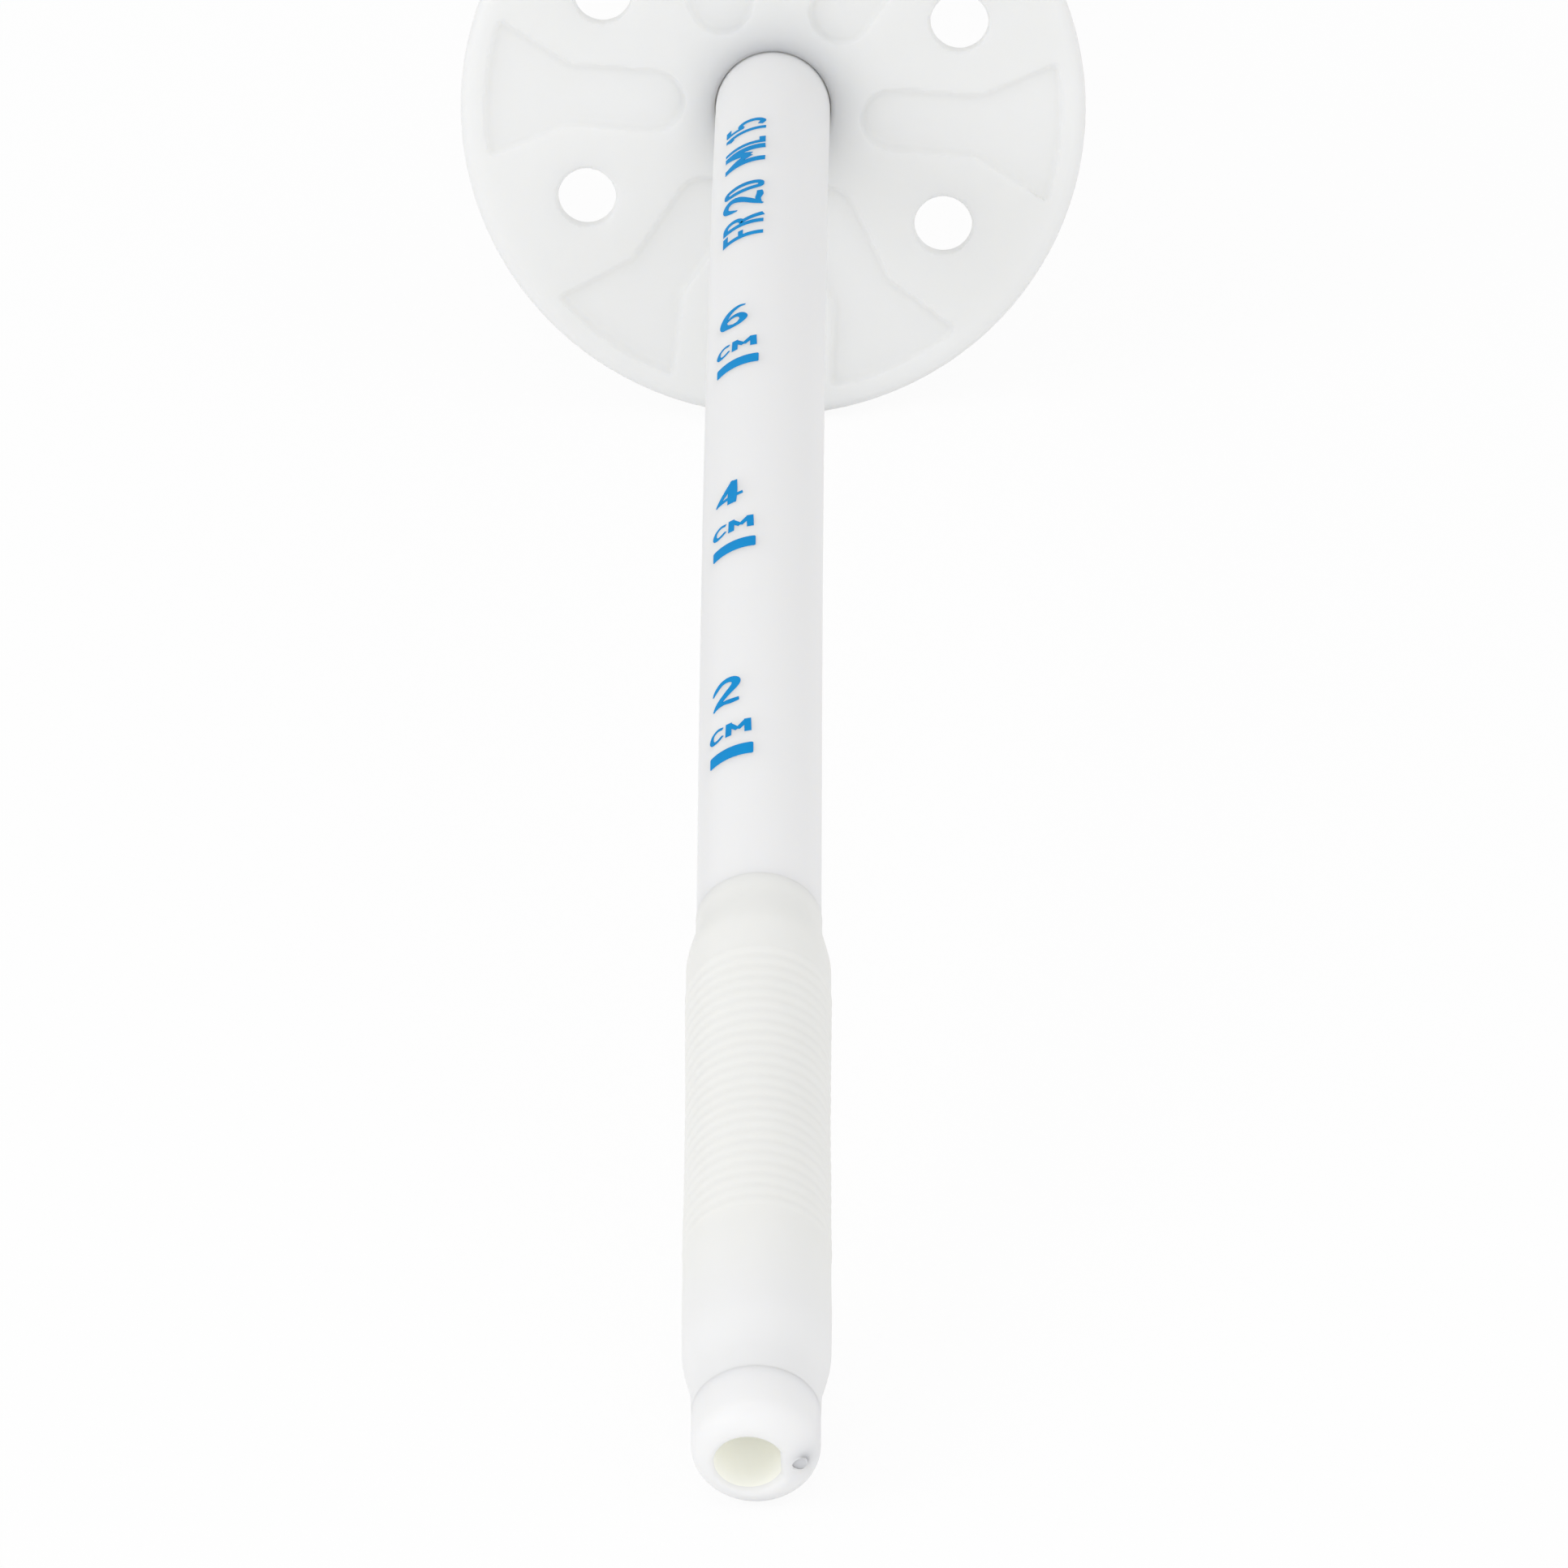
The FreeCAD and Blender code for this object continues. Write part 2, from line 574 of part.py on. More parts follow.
def pull_tab(flange_radius, base, side):
    """A rounded tongue beside the flange, on the side of +1 or -1 times X."""
    tab = Part.makeBox(flange_radius + TAB_LENGTH - TAB_WIDTH / 2, TAB_WIDTH, FLANGE_THICKNESS,
                       Vector(0, -TAB_WIDTH / 2, base))
    end = Part.makeCylinder(TAB_WIDTH / 2, FLANGE_THICKNESS,
                            Vector(flange_radius + TAB_LENGTH - TAB_WIDTH / 2, 0, base), Z_AXIS)
    return placed(joined(tab, end), Placement(CENTRE, Rotation(Z_AXIS, 90 - 90 * side)))


def plug(arm_radius, lip_radius, bore_radius, length, tab_side):
    """A plug in its port, in the arm's frame."""
    stem_radius = bore_radius - PLUG_FIT_GAP
    base = length + PLUG_SEAT_GAP
    nose = base - PLUG_STEM_LENGTH
    flange_radius = lip_radius - FLANGE_INSET
    stem = turned_polygon([
        (0, nose), (stem_radius - PLUG_NOSE_CHAMFER, nose), (stem_radius, nose + PLUG_NOSE_CHAMFER),
        (stem_radius, base), (flange_radius, base), (flange_radius, base + FLANGE_THICKNESS),
        (0, base + FLANGE_THICKNESS)])
    ring_end = length - LIP_THICKNESS - PLUG_TRAVEL - RING_STOP_GAP
    ring_inner = arm_radius + RING_GAP
    ring_outer = ring_inner + RING_WALL
    ring = cylinder(ring_outer, ring_end - RING_LENGTH, ring_end).cut(
        cylinder(ring_inner, ring_end - RING_LENGTH - CUT_MARGIN, ring_end + CUT_MARGIN))
    band = strap(ring_end - RING_LENGTH / 2, base + FLANGE_THICKNESS / 2, ring_inner + RING_WALL / 2,
                 flange_radius - STRAP_THICKNESS, lip_radius + STRAP_CLEARANCE)
    return joined(stem, pull_tab(flange_radius, base, tab_side), ring, band)


def feeding_plug():
    shape = plug(FEEDING_RADIUS, FEEDING_LIP_RADIUS, FEEDING_BORE_RADIUS, FEEDING_LENGTH, -1)
    return placed(shape, FEEDING_FRAME)


def medication_plug():
    shape = plug(MEDICATION_RADIUS, MEDICATION_LIP_RADIUS, MEDICATION_BORE_RADIUS, MEDICATION_LENGTH, -1)
    return placed(shape, MEDICATION_FRAME)


# Inflation valve, with stations measured out along its arm

SOCKET_STEP = VALVE_END - SOCKET_DEPTH
SOCKET_FLOOR = SOCKET_STEP - SOCKET_SEAT_DEPTH
VALVE_SEAT = SOCKET_FLOOR - THROAT_LENGTH
VALVE_INNER_END = INFLATION_LENGTH - VALVE_STEM_LENGTH
SEAL_TOP = VALVE_SEAT - SEAL_GAP
SEAL_BASE = SEAL_TOP - SEAL_THICKNESS
POPPET_FLANGE_BASE = SEAL_BASE - POPPET_FLANGE_THICKNESS
RETAINER_TOP = VALVE_INNER_END + RETAINER_THICKNESS


def valve_lugs():
    """Two short lugs for a locking syringe, at the socket's mouth."""
    reach = VALVE_HUB_RADIUS + VALVE_LUG_REACH
    bar = Part.makeBox(2 * reach, VALVE_LUG_WIDTH, VALVE_LUG_THICKNESS,
                       Vector(-reach, -VALVE_LUG_WIDTH / 2, VALVE_END - VALVE_LUG_THICKNESS))
    return bar.common(cylinder(reach, VALVE_END - VALVE_LUG_THICKNESS, VALVE_END))


def valve_body():
    flange_top = INFLATION_LENGTH + VALVE_FLANGE_THICKNESS
    outside = turned_polygon([
        (0, VALVE_INNER_END), (VALVE_STEM_RADIUS, VALVE_INNER_END), (VALVE_STEM_RADIUS, INFLATION_LENGTH),
        (VALVE_FLANGE_RADIUS, INFLATION_LENGTH), (VALVE_FLANGE_RADIUS, flange_top),
        (VALVE_HUB_RADIUS, flange_top), (VALVE_HUB_RADIUS, VALVE_END), (0, VALVE_END)])
    passage = turned_polygon([
        (0, VALVE_INNER_END - CUT_MARGIN), (CHAMBER_RADIUS, VALVE_INNER_END - CUT_MARGIN),
        (CHAMBER_RADIUS, VALVE_SEAT), (THROAT_RADIUS, VALVE_SEAT), (THROAT_RADIUS, SOCKET_FLOOR),
        (SOCKET_SEAT_RADIUS, SOCKET_FLOOR), (SOCKET_SEAT_RADIUS, SOCKET_STEP), (SOCKET_RADIUS, SOCKET_STEP),
        (SOCKET_RADIUS, VALVE_END + CUT_MARGIN), (0, VALVE_END + CUT_MARGIN)])
    return placed(joined(outside, valve_lugs()).cut(passage), VALVE_FRAME)


def valve_poppet():
    tail_end = POPPET_FLANGE_BASE - POPPET_TAIL_LENGTH
    top = SOCKET_STEP - POPPET_SINK
    shape = turned_polygon([
        (0, tail_end), (POPPET_TAIL_RADIUS, tail_end), (POPPET_TAIL_RADIUS, POPPET_FLANGE_BASE),
        (POPPET_FLANGE_RADIUS, POPPET_FLANGE_BASE), (POPPET_FLANGE_RADIUS, SEAL_BASE),
        (POPPET_PIN_RADIUS, SEAL_BASE), (POPPET_PIN_RADIUS, top), (0, top)])
    return placed(shape, VALVE_FRAME)


def valve_seal():
    ring = cylinder(SEAL_RADIUS, SEAL_BASE, SEAL_TOP).cut(cylinder(POPPET_PIN_RADIUS, SEAL_BASE, SEAL_TOP))
    return placed(ring, VALVE_FRAME)


def valve_spring():
    """A round-wire coil between the retainer and the poppet's flange, of short mitred lengths."""
    start = RETAINER_TOP + SPRING_WIRE_RADIUS
    height = POPPET_FLANGE_BASE - RETAINER_TOP - 2 * SPRING_WIRE_RADIUS
    count = SPRING_TURNS * SPRING_CHORDS
    line = []
    for index in range(count + 1):
        turn = math.tau * index / SPRING_CHORDS
        level = start + height * index / count
        line.append(Vector(SPRING_COIL_RADIUS * math.cos(turn), SPRING_COIL_RADIUS * math.sin(turn), level))
    wire_end = Part.Circle(line[0], line[1] - line[0], SPRING_WIRE_RADIUS)
    coil = Part.makePolygon(line).makePipeShell([Part.Wire(wire_end.toShape())], True, False, 1)
    return placed(coil, VALVE_FRAME)


def valve_retainer():
    disc = cylinder(CHAMBER_RADIUS, VALVE_INNER_END, RETAINER_TOP)
    hole = Part.makeCylinder(RETAINER_HOLE_RADIUS, RETAINER_THICKNESS,
                             Vector(RETAINER_HOLE_CIRCLE, 0, VALVE_INNER_END), Z_AXIS)
    return placed(disc.cut(angled_copies(hole, RETAINER_HOLES, 0)), VALVE_FRAME)


# All pieces, moved along the tube so that the origin is under the middle of the part

PIECES = {
    "shaft": shaft(),
    "lumen_plug": lumen_plug(),
    "balloon": balloon(),
    "retention_disc": retention_disc(),
    "feeding_head": feeding_head(),
    "feeding_plug": feeding_plug(),
    "medication_plug": medication_plug(),
    "valve_body": valve_body(),
    "valve_poppet": valve_poppet(),
    "valve_seal": valve_seal(),
    "valve_spring": valve_spring(),
    "valve_retainer": valve_retainer()}

WHOLE = Part.makeCompound(list(PIECES.values())).optimalBoundingBox(False, False)
ORIGIN_SHIFT = Vector(0, -WHOLE.Center.y, 0)

os.makedirs("parts", exist_ok=True)
for node, shape in PIECES.items():
    shape.translate(ORIGIN_SHIFT)
    shape.exportStep("parts/" + node + ".step")
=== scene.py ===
import json
import logging
import math
from dataclasses import dataclass, field
from enum import Enum
from typing import Callable

import bpy
from mathutils import Matrix, Vector


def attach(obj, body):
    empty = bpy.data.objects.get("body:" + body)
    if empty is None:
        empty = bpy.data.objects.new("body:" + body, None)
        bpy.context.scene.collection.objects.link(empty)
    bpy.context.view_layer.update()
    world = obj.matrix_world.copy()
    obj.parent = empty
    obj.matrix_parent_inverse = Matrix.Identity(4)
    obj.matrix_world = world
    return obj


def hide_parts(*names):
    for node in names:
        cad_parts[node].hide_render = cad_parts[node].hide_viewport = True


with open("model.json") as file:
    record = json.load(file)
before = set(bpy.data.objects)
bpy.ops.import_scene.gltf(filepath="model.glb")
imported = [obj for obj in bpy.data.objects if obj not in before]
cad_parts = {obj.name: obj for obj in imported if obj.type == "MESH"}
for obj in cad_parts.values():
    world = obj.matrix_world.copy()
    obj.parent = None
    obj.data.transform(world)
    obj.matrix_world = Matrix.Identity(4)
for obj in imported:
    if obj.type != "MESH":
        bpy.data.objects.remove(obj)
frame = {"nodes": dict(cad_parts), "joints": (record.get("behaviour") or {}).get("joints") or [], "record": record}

# Balloon gastrostomy feeding tube, 20 French, lying on a table.
# Sizes are millimetres in the fields below and metres in Blender.
# Tube parts are modelled straight on a bench: Z is the distance from the tip along the centre line,
# Y is up and X is to the left seen from the tip. A curve modifier then lays them along the real route.

LOG = logging.getLogger("feeding_tube")
MM = 0.001
MERGE = 0.0005 * MM

Object = bpy.types.Object
Outline = list[tuple[float, float]]


class Axis(Enum):
    """The axes of the bench."""

    X = Vector((1, 0, 0))
    Y = Vector((0, 1, 0))
    Z = Vector((0, 0, 1))


class Sweep(Enum):
    """How a Boolean modifier puts two solids together."""

    ADD = "UNION"
    TAKE = "DIFFERENCE"
    KEEP = "INTERSECT"


# Hand work in Blender

def clear() -> None:
    """Leave edit mode and deselect everything, so that an operator meets only what it should."""
    if bpy.context.object and bpy.context.object.mode != "OBJECT":
        bpy.ops.object.mode_set(mode="OBJECT")
    bpy.ops.object.select_all(action="DESELECT")


def take(piece: Object, *others: Object) -> Object:
    """Select pieces and make the first one active.

    Args:
        piece: the one that operators and modifiers act on.
        others: more pieces to select with it.

    Returns:
        The first piece.
    """
    clear()
    for one in (piece, *others):
        one.select_set(True)
    bpy.context.view_layer.objects.active = piece
    return piece


def named(name: str) -> Object:
    """Name the active object and its mesh.

    Args:
        name: the name that both get.

    Returns:
        The active object.
    """
    piece = bpy.context.object
    piece.name = name
    piece.data.name = name
    return piece


def edit(piece: Object) -> None:
    """Open a piece in edit mode with all of it selected.

    Args:
        piece: the piece to edit.
    """
    take(piece)
    bpy.ops.object.mode_set(mode="EDIT")
    bpy.ops.mesh.select_mode(type="VERT")
    bpy.ops.mesh.select_all(action="SELECT")


def pick(piece: Object, wanted: Callable[[Vector], bool]) -> None:
    """Open a piece in edit mode with the vertices selected whose place passes a test.

    Args:
        piece: the piece to edit.
        wanted: a test of a vertex's place on the bench, in millimetres.
    """
    edit(piece)
    bpy.ops.mesh.select_all(action="DESELECT")
    bpy.ops.object.mode_set(mode="OBJECT")
    for vertex in piece.data.vertices:
        vertex.select = wanted(vertex.co / MM)
    bpy.ops.object.mode_set(mode="EDIT")


def close_up(piece: Object) -> Object:
    """Merge doubles, point all faces outwards and put the origin at the bench's own.

    Args:
        piece: the piece to change.

    Returns:
        The same piece.
    """
    edit(piece)
    bpy.ops.mesh.remove_doubles(threshold=MERGE)
    bpy.ops.mesh.normals_make_consistent(inside=False)
    take(piece)
    bpy.ops.object.transform_apply(location=True)
    return piece


def drawn(name: str, points: list[Vector]) -> Object:
    """Draw a line of edges by extruding a single point.

    Args:
        name: the new object's name.
        points: the places that the line goes through, in millimetres.

    Returns:
        The object, left in edit mode with its last point selected.
    """
    clear()
    bpy.ops.mesh.primitive_plane_add(size=MM, location=points[0] * MM)
    piece = named(name)
    bpy.ops.object.mode_set(mode="EDIT")
    bpy.ops.mesh.merge(type="CENTER")
    for before, after in zip(points, points[1:]):
        bpy.ops.mesh.extrude_region_move(TRANSFORM_OT_translate={"value": (after - before) * MM})
    return piece


def turned(name: str, outline: Outline, segments: int, closed: bool = True) -> Object:
    """Spin an outline round Z.

    Args:
        name: the new object's name.
        outline: (radius, height) pairs in millimetres.
        segments: the number of steps round the axis.
        closed: whether the outline's end meets its start again.

    Returns:
        The turned piece.
    """
    points = [Vector((radius, 0, height)) for radius, height in outline]
    if closed:
        points.append(points[0])
    piece = drawn(name, points)
    bpy.ops.mesh.select_all(action="SELECT")
    bpy.ops.mesh.spin(steps=segments, angle=math.tau, center=(0, 0, 0), axis=(0, 0, 1))
    return close_up(piece)


def prism(name: str, outline: Outline, low: float, high: float) -> Object:
    """Fill an outline in the XY plane and extrude it.

    Args:
        name: the new object's name.
        outline: (x, y) pairs in millimetres.
        low: the height of the first face.
        high: the height of the last face.

    Returns:
        The solid prism.
    """
    piece = drawn(name, [Vector((x, y, low)) for x, y in outline])
    bpy.ops.mesh.select_all(action="SELECT")
    bpy.ops.mesh.edge_face_add()
    bpy.ops.mesh.extrude_region_move(TRANSFORM_OT_translate={"value": (0, 0, (high - low) * MM)})
    return close_up(piece)


def rod(name: str, radius: float, low: float, high: float, segments: int = 64, tip: float = 0) -> Object:
    """Add a cylinder or cone about Z between two heights.

    Args:
        name: the new object's name.
        radius: its radius in millimetres.
        low: its lower end.
        high: its upper end.
        segments: its sides.
        tip: its radius at the upper end, if that differs.

    Returns:
        The solid.
    """
    clear()
    bpy.ops.mesh.primitive_cone_add(
        vertices=segments, radius1=radius * MM, radius2=(tip or radius) * MM, depth=(high - low) * MM,
        location=(0, 0, (low + high) / 2 * MM))
    bpy.ops.object.transform_apply(location=True)
    return named(name)


def modified(piece: Object, kind: str, **settings: object) -> Object:
    """Add a modifier, set it and apply it.

    Args:
        piece: the piece to change.
        kind: the modifier's type.
        settings: its properties.

    Returns:
        The changed piece.
    """
    take(piece)
    modifier = piece.modifiers.new(kind.title(), kind)
    for key, value in settings.items():
        setattr(modifier, key, value)
    bpy.ops.object.modifier_apply(modifier=modifier.name)
    return piece


def combined(piece: Object, other: Object, how: Sweep) -> Object:
    """Put two solids together, and use up the second one.

    Args:
        piece: the solid that stays.
        other: the solid that is used up.
        how: which Boolean puts them together.

    Returns:
        The solid that stays.
    """
    modified(piece, "BOOLEAN", object=other, operation=how.value, solver="EXACT")
    bpy.data.objects.remove(other)
    return piece


def rounded(piece: Object, width: float, steps: int = 3, angle: float = 40) -> Object:
    """Round every edge sharper than an angle in degrees, by a width in millimetres."""
    return modified(piece, "BEVEL", width=width * MM, segments=steps, limit_method="ANGLE",
                    angle_limit=math.radians(angle), use_clamp_overlap=True)


def smooth(piece: Object, angle: float = 35) -> Object:
    """Shade a piece smooth, but not across its sharp edges.

    Args:
        piece: the piece to change.
        angle: from how many degrees on an edge is sharp.

    Returns:
        The same piece.
    """
    take(piece)
    bpy.ops.object.shade_smooth_by_angle(angle=math.radians(angle))
    return piece


def moulded(name: str, parts: list[Object], grain: float, passes: int) -> Object:
    """Melt overlapping solids into one moulding with soft inside corners.

    Args:
        name: the moulding's name.
        parts: the solids, which are used up.
        grain: the size of the new mesh's faces in millimetres.
        passes: how often the surface is evened out.

    Returns:
        The moulding.
    """
    take(*parts)
    bpy.ops.object.join()
    piece = named(name)
    modified(piece, "REMESH", mode="VOXEL", voxel_size=grain * MM)
    return modified(piece, "SMOOTH", factor=0.5, iterations=passes)


def placed(piece: Object, place: Matrix) -> Object:
    """Move a bench piece to its place and settle the move into its mesh.

    Args:
        piece: the piece to change.
        place: the move, in metres.

    Returns:
        The same piece.
    """
    piece.matrix_world = place @ piece.matrix_world
    take(piece)
    bpy.ops.object.transform_apply(location=True, rotation=True, scale=True)
    return piece


def copied(piece: Object, turn: float) -> Object:
    """Copy a piece with its own mesh, and turn the copy about Z.

    Args:
        piece: the piece to copy.
        turn: the angle in degrees.

    Returns:
        The copy.
    """
    take(piece)
    bpy.ops.object.duplicate()
    return placed(bpy.context.object, Matrix.Rotation(math.radians(turn), 4, "Z"))


def arc(centre: tuple[float, float], radius: float, start: float, end: float, steps: int) -> Outline:
    """List points on an arc.

    Args:
        centre: the arc's centre in millimetres.
        radius: its radius in millimetres.
        start: the angle of its first point, in degrees.
        end: the angle of its last point.
        steps: the number of chords.

    Returns:
        The points, with both ends.
    """
    points = []
    for step in range(steps + 1):
        angle = math.radians(start + (end - start) * step / steps)
        points.append((centre[0] + radius * math.cos(angle), centre[1] + radius * math.sin(angle)))
    return points


def facing(origin: Vector, along: Vector, up: Vector) -> Matrix:
    """Make a place from a point and two directions.

    Args:
        origin: the point in metres.
        along: the direction of the place's Z.
        up: the direction that its Y stays close to.

    Returns:
        The place as a matrix in metres.
    """
    side = up.cross(along).normalized()
    over = along.cross(side).normalized()
    turn = Matrix((side, over, along.normalized())).transposed()
    return Matrix.Translation(origin) @ turn.to_4x4()


def hand_over(piece: Object, body: str, slot: str, *nodes: str) -> None:
    """Let a finished piece ride on its body and stand for its solids.

    Args:
        piece: the finished piece.
        body: the body that it moves with.
        slot: not used.
        nodes: the solids that it stands for.
    """
    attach(piece, body)
    if nodes:
        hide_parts(*nodes)
    LOG.info("%s: %d faces on %s", piece.name, len(piece.data.polygons), body)


# Finishes

def channel(digits: str) -> float:
    """Turn one channel of an sRGB colour, as two hex digits, into its linear value."""
    value = int(digits, 16) / 255
    return value / 12.92 if value <= 0.04045 else ((value + 0.055) / 1.055) ** 2.4


def linear(colour: str) -> tuple[float, float, float, float]:
    """Turn an sRGB colour, as # and six hex digits, into linear values with full alpha."""
    return channel(colour[1:3]), channel(colour[3:5]), channel(colour[5:7]), 1.0


def add_node(tree: bpy.types.NodeTree, kind: str, settings: dict, links: dict) -> bpy.types.Node:
    """Add a node to a material.

    Args:
        tree: the material's node tree.
        kind: the node's type.
        settings: its own properties.
        links: its inputs by name or number, each a value or another node's output.

    Returns:
        The new node.
    """
    node = tree.nodes.new(kind)
    for key, value in settings.items():
        setattr(node, key, value)
    for key, value in links.items():
        if isinstance(value, bpy.types.NodeSocket):
            tree.links.new(value, node.inputs[key])
        else:
            node.inputs[key].default_value = value
    return node


def blank(name: str) -> tuple[bpy.types.Material, bpy.types.NodeTree, bpy.types.Node]:
    """Make an empty material.

    Args:
        name: the material's name.

    Returns:
        The material, its node tree and its output node.
    """
    material = bpy.data.materials.new(name)
    material.use_nodes = True
    tree = material.node_tree
    tree.nodes.clear()
    return material, tree, tree.nodes.new("ShaderNodeOutputMaterial")


@dataclass(frozen=True)
class Silicone:
    """Platinum-cured silicone rubber: milky, soft-edged, with light that soaks in under a satin skin.

    Cloud is the slow unevenness of the milkiness, and grain is the fine bloom of the mould or die.
    The real bloom is finer than a pixel, so it is drawn a few times as coarse. End colour is the shade
    near the tip, and it gives way to the other colours between the two end stations.
    """

    name: str
    colour: str
    cloud_colour: str
    roughness: float = 0.46
    soak: float = 0.6
    soak_depth: float = 2.5
    cloud: float = 6.0
    grain: float = 0.35
    grain_height: float = 0.004
    stretch: float = 1.0
    bench_pattern: bool = False
    end_colour: str = ""
    end_stations: tuple = (7.0, 17.0)
    # Painted glow: emission in the material's own colour, painted light that stands in for light passing through
    # the wall
    painted_glow: float = 0.0

    def pattern(self, tree: bpy.types.NodeTree, place: bpy.types.NodeSocket, size: float,
                settings: dict) -> bpy.types.NodeSocket:
        """Add a noise that is drawn out along the tube by the stretch.

        Args:
            tree: the material's node tree.
            place: the coordinates that the noise is read at.
            size: the size of its clouds or grains in millimetres.
            settings: more inputs of the noise.

        Returns:
            The noise's value.
        """
        density = 1 / (size * MM)
        stretched = add_node(tree, "ShaderNodeMapping", {}, {
            "Vector": place, "Scale": (density, density, density / self.stretch)})
        noise = add_node(tree, "ShaderNodeTexNoise", {}, {
            "Vector": stretched.outputs[0], "Scale": 1.0, **settings})
        return noise.outputs["Fac"]

    def material(self) -> bpy.types.Material:
        """Build the material: clouded colour, scattering under the skin, a fine bump and a painted glow where one
        is set.

        Returns:
            The new material.
        """
        material, tree, output = blank(self.name)
        if self.bench_pattern:
            place = add_node(tree, "ShaderNodeAttribute", {"attribute_name": "bench"}, {}).outputs["Vector"]
        else:
            place = add_node(tree, "ShaderNodeTexCoord", {}, {}).outputs["Object"]
        cloud = self.pattern(tree, place, self.cloud, {"Detail": 3.0, "Roughness": 0.55})
        colour = add_node(tree, "ShaderNodeMix", {"data_type": "RGBA"}, {
            "Factor": cloud, "A": linear(self.cloud_colour), "B": linear(self.colour)})
        if self.end_colour:
            near, far = self.end_stations
            station = add_node(tree, "ShaderNodeSeparateXYZ", {}, {"Vector": place}).outputs["Z"]
            share = add_node(tree, "ShaderNodeMapRange", {"interpolation_type": "SMOOTHSTEP"}, {
                "Value": station, "From Min": near * MM, "From Max": far * MM})
            colour = add_node(tree, "ShaderNodeMix", {"data_type": "RGBA"}, {
                "Factor": share.outputs[0], "A": linear(self.end_colour), "B": colour.outputs["Result"]})
        grain = self.pattern(tree, place, self.grain, {"Detail": 2.0})
        bump = add_node(tree, "ShaderNodeBump", {}, {
            "Height": grain, "Strength": 0.6, "Distance": self.grain_height * MM})
        shader = add_node(tree, "ShaderNodeBsdfPrincipled", {"subsurface_method": "RANDOM_WALK"}, {
            "Base Color": colour.outputs["Result"], "Roughness": self.roughness, "IOR": 1.41,
            "Subsurface Weight": self.soak, "Subsurface Radius": (1.0, 0.95, 0.85),
            "Subsurface Scale": self.soak_depth * MM, "Normal": bump.outputs[0],
            "Emission Color": linear(self.colour), "Emission Strength": self.painted_glow})
        tree.links.new(shader.outputs[0], output.inputs["Surface"])
        return material


@dataclass(frozen=True)
class Moulded:
    """An injection-moulded plastic or drawn metal: one colour, with a faint texture from its tool."""

    name: str
    colour: str
    worn_colour: str
    roughness: float
    ior: float = 1.5
    metal: float = 0.0
    grain: float = 0.25
    grain_height: float = 0.003

    def material(self) -> bpy.types.Material:
        """Build the material: a slight change of shade, and a fine bump.

        Returns:
            The new material.
        """
        material, tree, output = blank(self.name)
        place = add_node(tree, "ShaderNodeTexCoord", {}, {}).outputs["Object"]
        noise = add_node(tree, "ShaderNodeTexNoise", {}, {
            "Vector": place, "Scale": 1 / (self.grain * MM), "Detail": 3.0})
        colour = add_node(tree, "ShaderNodeMix", {"data_type": "RGBA"}, {
            "Factor": noise.outputs["Fac"], "A": linear(self.worn_colour), "B": linear(self.colour)})
        bump = add_node(tree, "ShaderNodeBump", {}, {
            "Height": noise.outputs["Fac"], "Strength": 0.5, "Distance": self.grain_height * MM})
        shader = add_node(tree, "ShaderNodeBsdfPrincipled", {}, {
            "Base Color": colour.outputs["Result"], "Roughness": self.roughness, "IOR": self.ior,
            "Metallic": self.metal, "Normal": bump.outputs[0]})
        tree.links.new(shader.outputs[0], output.inputs["Surface"])
        return material


# Extruded tube: whitest, with faint draw lines along it from the die
SHAFT_SILICONE = Silicone("extruded_silicone", "#EFEFF0", "#ECECED", stretch=14, bench_pattern=True)
# Inside of the lumen: the same rubber, a little yellow. Its glow is painted light: an even emission that stands in
# for the light that soaks through the wall from all round, which scattering under the skin doesn't carry that far
# in.
LUMEN_SILICONE = Silicone("silicone_lumen", "#F0F0EA", "#ECECE4", soak=0.5, stretch=14, bench_pattern=True,
                          painted_glow=0.15)
# Balloon: a thin sleeve a shade warmer than the tube, and as white as the tube where it is glued at the tip
BALLOON_SILICONE = Silicone("sleeve_silicone", "#F2F2EF", "#EFEFEB", roughness=0.5, soak=0.3,
                            soak_depth=1.0, cloud=4, grain=0.3, bench_pattern=True, end_colour="#F1F1F1")
# Disc: pressed from clearer silicone, so it looks greyer and cooler and lets light through
DISC_SILICONE = Silicone("pressed_clear_silicone", "#E5E6E6", "#E2E3E2", roughness=0.42, soak=0.9,
                         soak_depth=5.0, cloud=9, grain=0.5, grain_height=0.003)
# Head: moulded milky silicone with a fine bloom
HEAD_SILICONE = Silicone("moulded_silicone", "#EFF0F0", "#EAECEC", cloud=8, grain=0.4, grain_height=0.005)
# Plugs: the same rubber in a firmer grade, slightly whiter
PLUG_SILICONE = Silicone("firm_silicone", "#F2F3F3", "#ECEEEE", roughness=0.5, cloud=5, grain=0.4)
# Pad-printed ink: flat and even, a little darker where the pad left more
PRINT_INK = Moulded("pad_printed_ink", "#0898DC", "#0582C6", 0.6, ior=1.2, grain=1.6, grain_height=0.0)
# Valve: white moulded polypropylene with a slight sheen
VALVE_PLASTIC = Moulded("white_polypropylene", "#EDF0F2", "#E6EAED", 0.32)
# Poppet: blue moulded acetal
POPPET_PLASTIC = Moulded("blue_acetal", "#1C7FC4", "#1872B4", 0.35)
# Seal: black nitrile rubber
SEAL_RUBBER = Moulded("nitrile_rubber", "#26272A", "#1E1F21", 0.6)
# Spring: drawn stainless wire
SPRING_STEEL = Moulded("drawn_stainless_wire", "#B9BCC0", "#A9ACB0", 0.28, metal=1.0, grain=0.1)


def dress(piece: Object, *finishes: Silicone | Moulded) -> Object:
    """Give a piece its finishes, in the order of its material slots.

    Args:
        piece: the piece to change.
        finishes: a finish for each slot.

    Returns:
        The same piece.
    """
    piece.data.materials.clear()
    for finish in finishes:
        known = bpy.data.materials.get(finish.name)
        piece.data.materials.append(known or finish.material())
    return piece


